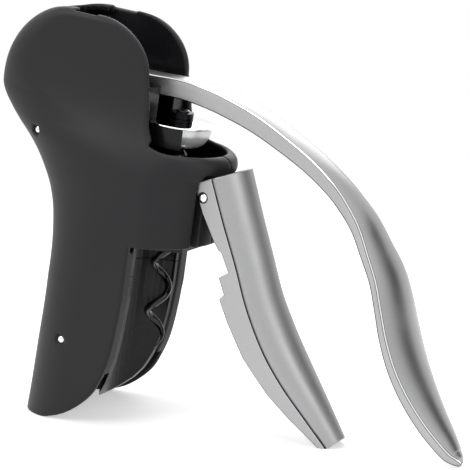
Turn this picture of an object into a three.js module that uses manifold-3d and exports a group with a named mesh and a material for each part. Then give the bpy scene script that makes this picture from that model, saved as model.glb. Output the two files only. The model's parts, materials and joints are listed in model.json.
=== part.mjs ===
import * as THREE from "three";
import { mergeVertices } from "three/addons/utils/BufferGeometryUtils.js";
import Module from "manifold-3d";

const wasm = await Module();
wasm.setup();

// Lever corkscrew with a clamp grip, millimetres. X runs forward, towards the lever.
// Y is across, and Z is up. Inside the leaned group, Z is the axis of the worm.
// The worm's axis crosses the floor at the leaned group's origin.

// Driving dimensions of the body
const leanDeg = 9.09;
const bodyHalfWidth = 23.2;
const cheekHalfWidth = 15.5;
const wall = 2.5;
const bodyTop = 151.4;
const bodyFoot = -14;
const headRadius = 34;
const headCentreX = -43.6;
const headCornerX = -33;
const headCornerRise = 20;
const headEdgeRound = 3.2;
const rimStepDrop = 1.1;
const rimStepDepth = 1.2;
const headCentreZ = bodyTop - headRadius;
const cheekFrontX = -8.2;
const cheekFootX = -5.6;
const collarRimZ = 108.8;
const collarRound = 6;
const cheekFillet = 9;
const legFrontX = -2.4;
const hemZ = 71;
const hemRise = 2.6;
const collarBulge = 3.8;
const barrelFront = bodyHalfWidth - collarBulge;
const barrelWall = 5.2;
const seam = 0.3;
const sectionFlat = 0.2;
const legSweepTopShare = 0.7;
const loose = bodyTop * 2;

// Clearances
const seat = 0.3;
const runningFit = 0.08;
const cutOver = 2;

// Mechanism
const pivotX = -40;
const pivotRise = 4.6;
const pivotZ = headCentreZ + pivotRise;
const pitchRadius = 26.5;
const toothModule = 1.5;
const toothTip = toothModule;
const toothRoot = toothModule * 1.25;
const toothPitch = Math.PI * toothModule;
const backlash = 0.32;
const pressureDeg = 20;
const sectorThick = 3.6;
const sectorStartDeg = -104;
const sectorEndDeg = 22;
const armHalfWidth = 5;
const armHubRadius = 10.3;
const sectorHubStep = 0.8;
const sectorHubRadius = armHubRadius - sectorHubStep;
const axleRadius = 4;
const rackBody = 2.5;
const rackRise = 6.5;
const rackTopZ = pivotZ + rackRise;
const plateThick = 1.6;
const guideDepth = 1.2;
const plateFootBack = 6.2;
const bushWall = 1.6;
const bushFlange = 0.9;
const bushFlangeRadius = 7;
const rivetRadius = 1.5;
const rivetPlaceRadius = (axleRadius + armHubRadius) / 2;
const rackRivetRadius = 0.8;
const crossPinRadius = 1.55;
const crossPinDome = 0.3;
const pinBossWall = 2;
const upperPinShare = 0.6823;
const upperPinInset = 14.6;
const lowerPinShare = 0.1836;
const lowerPinInset = 17.4;

// Worm, nut and carrier
const wormTipZ = 28;
const wormRadius = 3.45;
const wireRadius = 1.35;
const wormPitch = 19.3;
const wormFaceZ = 32.6;
const wormFaceDeg = 29;
const wormClearance = 0.6;
const shankRadius = 2.4;
const hubRadius = 5.4;
const carrierDrop = 14.1;
const carrierPlateZ = rackTopZ - carrierDrop;
const hubDepth = 6.7;
const hubBottomZ = carrierPlateZ - hubDepth;
const wormRootDepth = 4.95;
const wormTurns = (hubBottomZ - wormRootDepth - wormTipZ) / wormPitch;
const wormTaperTurns = 0.5;
const wormPointShare = 0.25;
const carrierPlate = 2;
const carrierRadius = 13.2;
const bellRadius = 11.5;
const washerThick = 1;
const washerRadius = 4.2;
const wormCollarThick = 2.2;
const wormCollarRadius = 4.2;
const nutPlateThick = 3.4;
const nutRadius = 8.6;
const nutNeckRadius = 6.9;
const nutHeight = 12;
const nutFlange = 1.8;
const nutFlangeRadius = 10.2;

// Bottle neck liner
const neckRadius = 15.7;
const linerWall = 2.1;
const linerTopZ = 58.2;
const linerLugHalf = 4;

// Clamp grip
const gripStandOff = 1.9;
const gripTopX = barrelFront + gripStandOff;
const gripTopZ = 101;
const gripReach = 59.4;
const gripDrop = 88.3;
const gripFlange = 13;
const gripPinShare = -0.079;
const gripPinInset = 2.4;
const gripPinX = gripTopX + gripReach * gripPinShare + gripPinInset;
const gripPinZ = 93.3;
const gripPinRadius = 1.85;
const gripPinDome = 0.6;
const gripHalfTop = 10.7;
const gripWall = 2.1;
const noseRadius = 4.6;
const nosePocketX = barrelFront - barrelWall;

// Lever
const leverSideTop = 6.2;
const leverBevel = 0.9;
const leverBevelRise = 0.7;
const leverCrown = 0.4;
const leverReach = 169.6;
const leverDrop = 101.2;
const leverHalfWidth = 6.3;
const paddleCrown = 3.5;

// Lever: its underside's path from the pivot, as shares of its reach and drop, then the half
// width, the side's height and the crown as shares of their sizes
const leverShares = [
  [0, -0.033, 0.8, 1, 0], [0.1, -0.032, 0.8, 1, 0], [0.165, -0.032, 0.8, 1.02, 0],
  [0.212, -0.034, 0.8, 1.06, 0], [0.25, -0.034, 0.81, 1.06, 0], [0.3, -0.028, 0.93, 1.04, 0],
  [0.347, -0.016, 1, 1.02, 0], [0.425, 0.016, 1, 0.95, 0],
  [0.501, 0.063, 1, 0.82, 0], [0.565, 0.11, 1.02, 0.66, 0], [0.612, 0.153, 1.09, 0.54, 0.15],
  [0.647, 0.192, 1.2, 0.46, 0.32], [0.695, 0.26, 1.49, 0.38, 0.58], [0.732, 0.34, 1.81, 0.34, 0.8],
  [0.764, 0.414, 2.1, 0.33, 0.94], [0.787, 0.495, 2.31, 0.35, 1], [0.811, 0.599, 2.37, 0.39, 1],
  [0.84, 0.703, 2.25, 0.43, 1], [0.875, 0.797, 1.98, 0.47, 0.92], [0.915, 0.882, 1.6, 0.5, 0.75],
  [0.949, 0.941, 1.23, 0.5, 0.55], [0.975, 0.98, 0.85, 0.45, 0.3], [0.991, 0.994, 0.5, 0.37, 0.12],
  [1, 1, 0.2, 0.22, 0],
];

// Places across the lever's crowned top, as shares of half its width
const leverCrownShares = [-1, -0.72, -0.4, 0, 0.4, 0.72, 1];

// Clamp grip: the crease between its flat flanges and round front, half width and flange depth,
// as shares of the grip's reach, drop and sizes at the top
const gripShares = [
  [0, 0, 1, 1], [0.12, 0.172, 0.98, 1], [0.239, 0.332, 0.935, 1], [0.347, 0.485, 0.905, 0.95],
  [0.446, 0.595, 0.895, 0.9], [0.545, 0.687, 0.86, 0.85], [0.677, 0.787, 0.745, 0.8],
  [0.833, 0.89, 0.575, 0.7], [1, 1, 0.425, 0.6],
];

// The rear edge of the grip's flanges seen from the side, as shares of the grip's reach and drop
const gripRearShares = [
  [-0.14, -0.009], [-0.103, 0.059], [-0.084, 0.079], [-0.029, 0.153], [0.071, 0.254],
  [0.116, 0.291], [0.134, 0.294], [0.202, 0.371], [0.141, 0.401], [0.194, 0.469],
  [0.168, 0.492], [0.25, 0.579], [0.395, 0.709], [0.589, 0.832], [0.756, 0.915],
  [0.937, 0.992], [1.103, 1.082],
];

const rad = Math.PI / 180;
const mergeGap = 1e-4;

// A smooth curve through rising [place, value] pairs, read at any place
function curveThrough(pairs) {
  const slope = pairs.map((pair, i) => {
    const a = pairs[Math.max(i - 1, 0)];
    const b = pairs[Math.min(i + 1, pairs.length - 1)];
    return (b[1] - a[1]) / (b[0] - a[0]);
  });
  return (place) => {
    const last = pairs.length - 1;
    if (place <= pairs[0][0]) return pairs[0][1];
    if (place >= pairs[last][0]) return pairs[last][1];
    let i = 0;
    while (place > pairs[i + 1][0]) i += 1;
    const span = pairs[i + 1][0] - pairs[i][0];
    const t = (place - pairs[i][0]) / span;
    const h = t * t * (3 - 2 * t);
    const rise = span * (slope[i] * t * (1 - t) * (1 - t) - slope[i + 1] * t * t * (1 - t));
    return pairs[i][1] * (1 - h) + pairs[i + 1][1] * h + rise;
  };
}

// A closed body from rings of equal point count, capped flat at both ends
function skin(rings) {
  const count = rings[0].length;
  const points = rings.flat();
  const index = [];
  for (let i = 0; i + 1 < rings.length; i += 1) {
    for (let j = 0; j < count; j += 1) {
      const a = i * count + j;
      const b = i * count + ((j + 1) % count);
      index.push(a, b, b + count, a, b + count, a + count);
    }
  }
  const capStart = THREE.ShapeUtils.triangulateShape(flatRing(rings[0]), []);
  const capEnd = THREE.ShapeUtils.triangulateShape(flatRing(rings[rings.length - 1]), []);
  const lastRing = (rings.length - 1) * count;
  capStart.forEach(([a, b, c]) => index.push(a, c, b));
  capEnd.forEach(([a, b, c]) => index.push(lastRing + a, lastRing + b, lastRing + c));
  const geometry = new THREE.BufferGeometry();
  const flat = points.flatMap((p) => [p.x, p.y, p.z]);
  geometry.setAttribute("position", new THREE.Float32BufferAttribute(flat, 3));
  geometry.setIndex(index);
  return solid(geometry);
}

// A ring's points seen along the ring's own normal, so that its cap can be triangulated
function flatRing(ring) {
  const normal = new THREE.Vector3();
  ring.forEach((p, i) => {
    const q = ring[(i + 1) % ring.length];
    normal.x += (p.y - q.y) * (p.z + q.z);
    normal.y += (p.z - q.z) * (p.x + q.x);
    normal.z += (p.x - q.x) * (p.y + q.y);
  });
  normal.normalize();
  const turn = new THREE.Quaternion().setFromUnitVectors(normal, new THREE.Vector3(0, 0, 1));
  return ring.map((p) => {
    const q = p.clone().applyQuaternion(turn);
    return new THREE.Vector2(q.x, q.y);
  });
}

// A manifold solid from a closed three.js geometry, turned outwards if it is inside out
function solid(geometry) {
  const bare = geometry.clone();
  bare.deleteAttribute("normal");
  bare.deleteAttribute("uv");
  const merged = mergeVertices(bare, mergeGap);
  const vertProperties = Float32Array.from(merged.attributes.position.array);
  const triVerts = Array.from(merged.index.array);
  const kept = [];
  for (let i = 0; i < triVerts.length; i += 3) {
    const [a, b, c] = triVerts.slice(i, i + 3);
    if (a !== b && b !== c && c !== a) kept.push(a, b, c);
  }
  const build = (order) => new wasm.Manifold(new wasm.Mesh({
    numProp: 3, vertProperties, triVerts: Uint32Array.from(order),
  }));
  const made = build(kept);
  if (made.volume() > 0) return made;
  const turned = [];
  for (let i = 0; i < kept.length; i += 3) turned.push(kept[i], kept[i + 2], kept[i + 1]);
  return build(turned);
}

// A plate in the XZ plane, from a closed list of [x, z] points or a Shape, between two Y values
function plateY(outline, yLow, yHigh, curveSegments = 12) {
  const shape = outline instanceof THREE.Shape
    ? outline : new THREE.Shape(outline.map(([x, z]) => new THREE.Vector2(x, z)));
  const geometry = new THREE.ExtrudeGeometry(shape, {
    depth: yHigh - yLow, bevelEnabled: false, curveSegments,
  });
  geometry.rotateX(Math.PI / 2);
  geometry.translate(0, yHigh, 0);
  return solid(geometry);
}

// A block between two corners
function block(xLow, xHigh, yLow, yHigh, zLow, zHigh) {
  return plateY([[xLow, zLow], [xHigh, zLow], [xHigh, zHigh], [xLow, zHigh]], yLow, yHigh);
}

// A turned piece about a vertical axis through x, from closed [radius, z] points
function turned(profile, x = 0, segments = 32) {
  const geometry = new THREE.LatheGeometry(profile.map(([r, z]) => new THREE.Vector2(r, z)), segments);
  geometry.rotateX(Math.PI / 2);
  geometry.translate(x, 0, 0);
  return solid(geometry);
}

// A round post about a vertical axis
function post(radius, zLow, zHigh, x = 0, segments = 32) {
  return turned([[0, zLow], [radius, zLow], [radius, zHigh], [0, zHigh]], x, segments);
}

// A round bar along Y through the point x, z, with domed ends where a dome is given
function barY(radius, yLow, yHigh, x, z, dome = 0, segments = 24) {
  const round = dome * 2;
  const half = (yHigh - yLow) / 2;
  const profile = [[0, -half - dome], [radius - round, -half - dome], [radius, -half]];
  profile.push([radius, half], [radius - round, half + dome], [0, half + dome]);
  const points = profile.map(([r, s]) => new THREE.Vector2(r, s));
  const apart = points.filter((point, i) => i === 0 || !point.equals(points[i - 1]));
  const geometry = new THREE.LatheGeometry(apart, segments);
  geometry.translate(x, (yLow + yHigh) / 2, z);
  return solid(geometry);
}

// The body's sections, from the foot to the top of the head

const rearReach = headRadius - headCentreX;
const collarRise = headRadius;

// Height as a share of the body's top, and the rear edge as a share of the head's rear reach
const rearShares = [
  [-0.092, 0.612], [0.024, 0.595], [0.135, 0.581], [0.272, 0.563], [0.396, 0.576],
  [0.484, 0.607], [0.545, 0.65], [0.5865, 0.699], [0.6245, 0.756], [0.6566, 0.8175],
  [0.694, 0.897], [0.732, 0.965], [0.755, 0.991], [0.7755, 1], [0.79, 1],
];
// Height from the collar's rim and the flare from cheek to barrel
const flareShares = [
  [-0.62, 1], [-0.45, 0.985], [-0.3, 0.93], [-0.17, 0.82], [-0.06, 0.66], [0.03, 0.5],
  [0.13, 0.34], [0.25, 0.2], [0.4, 0.09], [0.55, 0.03], [0.72, 0],
];
// Height from the collar's rim and the bulge from barrel front to collar
const bulgeShares = [
  [-0.411, 0], [-0.307, 0.1], [-0.247, 0.63], [-0.202, 0.95], [-0.143, 1],
  [-0.098, 0.9], [-0.054, 0.6], [0, -0.05],
];
// Height as a share of the body's top, the rear round's length and its width, as shares
const rearRoundShares = [
  [0.33, 0.31], [0.46, 0.4], [0.557, 0.56], [0.655, 0.73], [0.72, 0.69], [0.773, 0.46],
  [0.852, 0.22], [0.98, 0.16],
];
const rearSideShares = [[0.69, 1], [0.73, 0.93], [0.8, 0.78], [0.9, 0.68]];

const scaled = (pairs, along, value) => pairs.map(([a, b]) => [a * along, b * value]);
const rearEdge = curveThrough(scaled(rearShares, bodyTop, -rearReach));
const flare = curveThrough(scaled(flareShares, collarRise, bodyHalfWidth - cheekHalfWidth));
const bulge = curveThrough(scaled(bulgeShares, collarRise, collarBulge));
const rearRound = curveThrough(scaled(rearRoundShares, bodyTop, rearReach));
const rearSide = curveThrough(scaled(rearSideShares, bodyTop, 1));
const upperPinZ = bodyTop * upperPinShare;
const upperPinX = rearEdge(upperPinZ) + upperPinInset;
const lowerPinZ = bodyTop * lowerPinShare;
const lowerPinX = rearEdge(lowerPinZ) + lowerPinInset;

function bodyHalfWidthAt(z, inset = 0) {
  const round = headEdgeRound - inset;
  const above = z - (bodyTop - headEdgeRound);
  const drop = above > 0 ? round - Math.sqrt(Math.max(round * round - above * above, 0)) : 0;
  return cheekHalfWidth + flare(z - collarRimZ) - inset - drop;
}

// One level section, with the front either the barrel's ellipse or a square end
function bodySection(z, inset, frontInset, isHead) {
  const radius = headRadius - inset;
  const above = z - headCentreZ;
  const circle = headCentreX - Math.sqrt(Math.max(radius * radius - above * above, 0));
  const rear = above > 0 ? circle : rearEdge(z) + inset;
  const half = bodyHalfWidthAt(z, inset);
  const roundX = rearRound(z) - inset;
  const roundY = Math.min(half - sectionFlat, half * rearSide(z));
  const front = isHead ? collarRound : barrelFront + bulge(z - collarRimZ) - frontInset;
  const frontRoundX = isHead ? wall : front;
  const frontRoundY = isHead ? wall : half - sectionFlat;
  const side = [];
  const steps = 7;
  for (let i = 0; i <= steps; i += 1) {
    const turn = Math.PI - (Math.PI / 2) * (i / steps);
    const x = rear + roundX + roundX * Math.cos(turn);
    side.push([Math.min(x, front - frontRoundX), half - roundY + roundY * Math.sin(turn)]);
  }
  for (let i = 0; i <= steps; i += 1) {
    const turn = (Math.PI / 2) * (1 - i / steps);
    const x = front - frontRoundX + frontRoundX * Math.cos(turn);
    side.push([x, half - frontRoundY + frontRoundY * Math.sin(turn)]);
  }
  const ring = side.map(([x, y]) => new THREE.Vector3(x, -y, z));
  return ring.concat(side.reverse().map(([x, y]) => new THREE.Vector3(x, y, z)));
}

const barrelStationShares = [
  -0.092, 0.03, 0.14, 0.27, 0.38, 0.45, 0.51, 0.56, 0.6, 0.625, 0.642, 0.654, 0.665, 0.676,
  0.688, 0.698, 0.706,
];
const headStationShares = [0.722, 0.738, 0.755];
const headTurnDeg = [0, 12, 24, 36, 47, 57, 66, 74, 81, 86];

function bodyForm(inset, frontInset) {
  const barrelStations = [...barrelStationShares.map((share) => share * bodyTop), collarRimZ];
  const headStations = [collarRimZ, ...headStationShares.map((share) => share * bodyTop)];
  const radius = headRadius - inset;
  headTurnDeg.forEach((deg) => headStations.push(headCentreZ + radius * Math.sin(deg * rad)));
  headStations.push(headCentreZ + radius);
  const barrel = skin(barrelStations.map((z) => bodySection(z, inset, frontInset, false)));
  const head = skin(headStations.map((z) => bodySection(z, inset, frontInset, true)));
  return barrel.add(head);
}

// How far the leg's front edge sweeps back: height as a share of the hem's, sweep of the half width
const legShares = [
  [-0.2, 1.7], [-0.085, 1.3], [-0.018, 0.884], [0.051, 0.612], [0.144, 0.362], [0.24, 0.224],
  [0.356, 0.112], [0.5, 0.047], [legSweepTopShare, 0],
];
const legSweep = curveThrough(scaled(legShares, hemZ, bodyHalfWidth));

// The body seen from its side: front edge of the legs, hem, collar's rim and front of the head
function sideOutline(setBack = 0) {
  const shape = new THREE.Shape();
  const footZ = bodyFoot - cutOver;
  const edgeX = legFrontX - setBack;
  const steps = 16;
  shape.moveTo(-loose, footZ);
  for (let i = 0; i <= steps; i += 1) {
    const z = footZ + (hemZ * legSweepTopShare - footZ) * (i / steps);
    shape.lineTo(edgeX - legSweep(z), z);
  }
  shape.lineTo(edgeX, hemZ);
  shape.lineTo(barrelFront, hemZ + hemRise);
  shape.lineTo(loose, hemZ + hemRise);
  shape.lineTo(loose, collarRimZ);
  shape.lineTo(cheekFootX + cheekFillet, collarRimZ);
  const filletZ = collarRimZ + cheekFillet;
  shape.absarc(cheekFootX + cheekFillet, filletZ, cheekFillet, -Math.PI / 2, -Math.PI, true);
  const cornerZ = bodyTop - headCornerRise;
  shape.lineTo(cheekFrontX, cornerZ);
  shape.absellipse(headCornerX, cornerZ, cheekFrontX - headCornerX, headCornerRise, 0, Math.PI / 2);
  shape.lineTo(headCornerX, bodyTop + cutOver);
  shape.lineTo(-loose, bodyTop + cutOver);
  return shape;
}

// Names and colours of the finishes

function finish(color, roughness, metalness) {
  return new THREE.MeshStandardMaterial({ color, roughness, metalness });
}

const softBlack = finish(0x38383b, 0.6, 0);
const innerBlack = finish(0x17181a, 0.45, 0);
const castMetal = finish(0xb4b5b8, 0.35, 1);
const chrome = finish(0xe6e7e9, 0.08, 1);
const darkSteel = finish(0x2a2b2e, 0.4, 1);
const wormCoat = finish(0x0b0b0c, 0.15, 0.2);
const brass = finish(0xb08d4a, 0.4, 1);

// The leaned group carries fixed pieces, and each moving body is a group in it

const corkscrew = new THREE.Group();
const leaned = new THREE.Group();
leaned.rotation.y = leanDeg * rad;
corkscrew.add(leaned);

const groups = {};
["body", "lever", "carrier", "worm", "grip"].forEach((name) => {
  groups[name] = new THREE.Group();
  leaned.add(groups[name]);
});

function place(group, name, made, material) {
  const mesh = made.getMesh();
  const geometry = new THREE.BufferGeometry();
  geometry.setAttribute("position", new THREE.BufferAttribute(Float32Array.from(mesh.vertProperties), 3));
  geometry.setIndex(Array.from(mesh.triVerts));
  const piece = new THREE.Mesh(geometry, material);
  piece.name = name;
  groups[group].add(piece);
}

// The half-space under the floor, in the leaned frame, as a large block
function underFloor(lift = 0) {
  const down = new THREE.Vector2(Math.sin(leanDeg * rad), -Math.cos(leanDeg * rad));
  const along = new THREE.Vector2(-down.y, down.x);
  const corner = (a, b) => [along.x * a + down.x * b, along.y * a + down.y * b];
  const lower = [corner(loose, loose), corner(-loose, loose)];
  return plateY([corner(-loose, -lift), corner(loose, -lift), ...lower], -loose, loose);
}

// Body shells

const cheekInner = cheekHalfWidth - wall;
const stopThick = 2.2;
const armTopRise = leverSideTop + leverBevelRise + leverCrown - leverShares[0][1] * leverDrop;
const stopFrontX = pivotX - armTopRise - seat;
const slotRearX = stopFrontX - stopThick - seat;
const webBottomZ = pivotZ - armHubRadius / 2;

function bodyBlank() {
  return bodyForm(0, 0).intersect(plateY(sideOutline(), -loose, loose, 10)).subtract(underFloor());
}

function bodyHollow() {
  const legBack = legFrontX - wall * 2;
  const lipCut = block(legBack, loose, -loose, loose, bodyFoot * 2, hemZ - wall);
  const web = block(slotRearX - wall, slotRearX, -loose, loose, webBottomZ, bodyTop + cutOver);
  let hollow = bodyForm(wall, barrelWall).subtract(lipCut).subtract(web);
  const bowl = post(neckRadius + linerWall + seat, bodyFoot * 2, hemZ + nutPlateThick + seat, 0, 48);
  hollow = hollow.add(bowl.subtract(block(barrelFront - barrelWall, loose, -loose, loose, 0, bodyTop)));
  const scoop = bodyHalfWidth - barrelWall + seat;
  hollow = hollow.add(post(scoop, collarRimZ - collarRound, collarRimZ + cutOver, 0, 48));
  const slotTop = bodyTop + cutOver;
  const slotFrontX = cheekFootX + cheekFillet;
  const slotBottomZ = collarRimZ - collarRound;
  const armSlotHalf = sectorOuter + seat * 2;
  const stepHalf = cheekInner + rimStepDepth;
  hollow = hollow.add(block(slotRearX, headCentreX, -armSlotHalf, armSlotHalf, slotBottomZ, slotTop));
  hollow = hollow.add(block(headCentreX, slotFrontX, -cheekInner, cheekInner, slotBottomZ, slotTop));
  return hollow.add(block(headCentreX, headCornerX, -stepHalf, stepHalf, bodyTop - rimStepDrop, slotTop));
}

// The rounded block that the grip turns on, between the grip's two flanges
const flangeInner = gripHalfTop - gripWall;
const noseHalf = flangeInner - seat * 2;

function hingeNose() {
  const shape = new THREE.Shape();
  shape.moveTo(nosePocketX - wall, gripPinZ - noseRadius);
  shape.lineTo(gripPinX, gripPinZ - noseRadius);
  shape.absarc(gripPinX, gripPinZ, noseRadius, -Math.PI / 2, Math.PI / 2, false);
  shape.lineTo(nosePocketX - wall, gripPinZ + noseRadius);
  return plateY(shape, -noseHalf, noseHalf);
}

function bodyShells() {
  const pocketHalf = gripHalfTop + seat * 2;
  const pocketTop = gripTopZ + seat * 2;
  const pocket = block(nosePocketX, loose, noseHalf, pocketHalf, hemZ - cutOver, pocketTop);
  const mirrorPocket = block(nosePocketX, loose, -pocketHalf, -noseHalf, hemZ - cutOver, pocketTop);
  let shell = bodyBlank().subtract(bodyHollow()).subtract(pocket).subtract(mirrorPocket).add(hingeNose());
  shell = shell.add(pinBosses());
  shell = shell.subtract(barY(crossPinRadius + runningFit, -loose, loose, upperPinX, upperPinZ));
  shell = shell.subtract(barY(crossPinRadius + runningFit, -loose, loose, lowerPinX, lowerPinZ));
  shell = shell.subtract(barY(gripPinRadius + runningFit, -loose, loose, gripPinX, gripPinZ));
  const far = block(-loose, loose, seam / 2, loose, -loose, loose);
  const near = block(-loose, loose, -loose, -seam / 2, -loose, loose);
  place("body", "right_body_shell", shell.intersect(near), softBlack);
  place("body", "left_body_shell", shell.intersect(far), softBlack);
}

// Bosses inside the shells that carry the ends of the two cross pins
const plateOuter = cheekInner - seat;
const pinBossRadius = crossPinRadius + pinBossWall;

function pinBosses() {
  const upper = barY(pinBossRadius, -loose, loose, upperPinX, upperPinZ);
  const lower = barY(pinBossRadius, -loose, loose, lowerPinX, lowerPinZ);
  const lugHalf = linerLugHalf + seat;
  const between = block(-loose, loose, -lugHalf, lugHalf, bodyFoot, bodyTop);
  return upper.add(lower).subtract(between).intersect(bodyBlank());
}

// Cross pins, side plates and axle bushes

function crossPins() {
  const upperHalf = pinReach(upperPinX, upperPinZ);
  const lowerHalf = pinReach(lowerPinX, lowerPinZ);
  const upper = barY(crossPinRadius, -upperHalf, upperHalf, upperPinX, upperPinZ, crossPinDome);
  const lower = barY(crossPinRadius, -lowerHalf, lowerHalf, lowerPinX, lowerPinZ, crossPinDome);
  place("body", "upper_cross_pin", upper, chrome);
  place("body", "lower_cross_pin", lower, chrome);
}

// Half the width of the body at a point seen from the side
function pinReach(x, z) {
  const side = bodySection(z, 0, 0, z > collarRimZ).filter((p) => p.y > 0).sort((a, b) => a.x - b.x);
  const i = side.findIndex((p) => p.x > x);
  const share = (x - side[i - 1].x) / (side[i].x - side[i - 1].x);
  return side[i - 1].y + (side[i].y - side[i - 1].y) * share - crossPinDome;
}

const pitchLineX = pivotX + pitchRadius;
const rackBackX = pitchLineX + toothRoot + rackBody;
const rackBottomZ = hemZ + nutPlateThick + seat;
const guideBackX = rackBackX + seat;
const guideFrontX = guideBackX + guideDepth;
const sectorInner = armHalfWidth + seat;
const sectorOuter = sectorInner + sectorThick;
const plateInner = plateOuter - plateThick;
const plateBottomZ = hemZ + nutPlateThick + nutFlange + seat * 3;
const bushRadius = axleRadius + runningFit + bushWall;

function sidePlate() {
  const shape = new THREE.Shape();
  const topZ = pivotZ + armHubRadius;
  shape.moveTo(guideFrontX, plateBottomZ);
  shape.lineTo(guideFrontX, rackTopZ);
  shape.lineTo(pivotX + armHubRadius, topZ);
  shape.absarc(pivotX, pivotZ, armHubRadius, Math.PI / 2, Math.PI, false);
  shape.lineTo(pivotX - armHubRadius, upperPinZ);
  shape.lineTo(pitchLineX - armHubRadius, plateBottomZ + armHubRadius);
  shape.lineTo(pitchLineX - plateFootBack, plateBottomZ);
  let plate = plateY(shape, plateInner, plateOuter);
  const guideInner = sectorInner + seat;
  const flange = block(guideBackX, guideFrontX, guideInner, plateInner + seat, plateBottomZ, rackTopZ);
  plate = plate.add(flange);
  plate = plate.subtract(barY(pinBossRadius + seat, 0, bodyHalfWidth, upperPinX, upperPinZ));
  return plate.subtract(barY(bushRadius + runningFit, 0, bodyHalfWidth, pivotX, pivotZ));
}

function axleBush() {
  const sleeve = barY(bushRadius, plateInner - seat, plateOuter, pivotX, pivotZ);
  const flangeOuter = plateInner - seat;
  const flange = barY(bushFlangeRadius, flangeOuter - bushFlange, flangeOuter, pivotX, pivotZ);
  return sleeve.add(flange).subtract(barY(axleRadius + runningFit, 0, bodyHalfWidth, pivotX, pivotZ));
}

function plateAndBushPairs() {
  const mirror = (made) => made.mirror([0, 1, 0]);
  place("body", "left_side_plate", sidePlate(), innerBlack);
  place("body", "right_side_plate", mirror(sidePlate()), innerBlack);
  place("body", "left_axle_bush", axleBush(), brass);
  place("body", "right_axle_bush", mirror(axleBush()), brass);
}

// Bumper at the rear end of the slot, that the raised lever rests on
function slotStop() {
  const half = cheekInner - seat;
  const bottomZ = pivotZ + armHubRadius;
  const topZ = bodyTop - headEdgeRound / 2;
  const bumper = block(stopFrontX - stopThick, stopFrontX, -half, half, bottomZ, topZ);
  const room = bodyForm(wall + seat, barrelWall);
  place("body", "slot_stop", bumper.intersect(room), innerBlack);
}

// Nut plate with its C-shaped collar, and the nut in it

const linerOuter = neckRadius + linerWall;

function nutPlate() {
  const plateTop = hemZ + nutPlateThick;
  const front = barrelFront - barrelWall - seat;
  const disc = post(neckRadius + linerWall, hemZ, plateTop, 0, 48);
  const frontCut = block(front, loose, -loose, loose, 0, loose);
  const collar = ring(neckRadius, linerOuter, linerTopZ + seat, hemZ + seat);
  const hole = post(nutRadius + runningFit, hemZ - cutOver, plateTop + cutOver);
  place("body", "nut_plate", disc.subtract(frontCut).add(openFront(collar)).subtract(hole), innerBlack);
}

// A ring about the worm's axis
function ring(inner, outer, zLow, zHigh) {
  return turned([[inner, zLow], [outer, zLow], [outer, zHigh], [inner, zHigh], [inner, zLow]], 0, 48);
}

// A ring with its front taken away along the front edge of the legs
function openFront(made) {
  return made.intersect(plateY(sideOutline(seat * 2), -loose, loose, 10));
}

function neckLiner() {
  const tube = ring(neckRadius, linerOuter, -bodyHalfWidth, linerTopZ);
  const lugX = lowerPinX - crossPinRadius - wall;
  const lug = block(lugX, -neckRadius - linerWall / 2, -linerLugHalf, linerLugHalf,
    lowerPinZ - crossPinRadius - wall, lowerPinZ + crossPinRadius + wall);
  const hole = barY(crossPinRadius + runningFit, -bodyHalfWidth, bodyHalfWidth, lowerPinX, lowerPinZ);
  const liner = openFront(tube).add(lug).subtract(hole).subtract(underFloor(seat));
  place("body", "neck_liner", liner, innerBlack);
}

function wormNut() {
  const top = hemZ + nutHeight;
  const flangeZ = hemZ + nutPlateThick + seat;
  const profile = [[0, hemZ], [nutRadius, hemZ], [nutRadius, flangeZ], [nutFlangeRadius, flangeZ]];
  profile.push([nutFlangeRadius, flangeZ + nutFlange], [nutNeckRadius, flangeZ + nutFlange]);
  profile.push([nutNeckRadius, top], [0, top]);
  const passageTurns = wormTurns + wormTaperTurns;
  const passage = helix(wireRadius + wormClearance, wormTipZ, passageTurns, 0, 16);
  place("body", "worm_nut", turned(profile).subtract(passage), chrome);
}

// Worm: a right-handed helix that tapers to its point and joins a straight shank at the top

function helix(wire, bottomZ, turns, taper, stepsPerTurn, sides = 8) {
  const steps = Math.round(turns * stepsPerTurn);
  const rings = [];
  const climb = wormPitch / (2 * Math.PI);
  for (let i = 0; i <= steps; i += 1) {
    const turn = (i / stepsPerTurn) * 2 * Math.PI;
    const angle = turn + wormStartAngle;
    const centre = new THREE.Vector3(
      wormRadius * Math.cos(angle), wormRadius * Math.sin(angle), bottomZ + climb * turn,
    );
    const out = new THREE.Vector3(Math.cos(angle), Math.sin(angle), 0);
    const across = new THREE.Vector3(-Math.sin(angle), Math.cos(angle), climb / wormRadius);
    const up = across.normalize().cross(out);
    const grown = taper ? wormPointShare + ((1 - wormPointShare) * i) / (taper * stepsPerTurn) : 1;
    rings.push(wireRing(centre, out, up, wire * Math.min(1, grown), sides));
  }
  return skin(rings);
}

const wormStartAngle = wormFaceDeg * rad - (2 * Math.PI * (wormFaceZ - wormTipZ)) / wormPitch;

function wireRing(centre, across, up, radius, sides) {
  const ringPoints = [];
  for (let j = 0; j < sides; j += 1) {
    const turn = (2 * Math.PI * j) / sides;
    const offset = across.clone().multiplyScalar(radius * Math.cos(turn));
    ringPoints.push(centre.clone().add(offset).add(up.clone().multiplyScalar(radius * Math.sin(turn))));
  }
  return ringPoints;
}

const helixTopZ = wormTipZ + wormPitch * wormTurns;
const hubTopZ = carrierPlateZ + carrierPlate;

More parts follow.
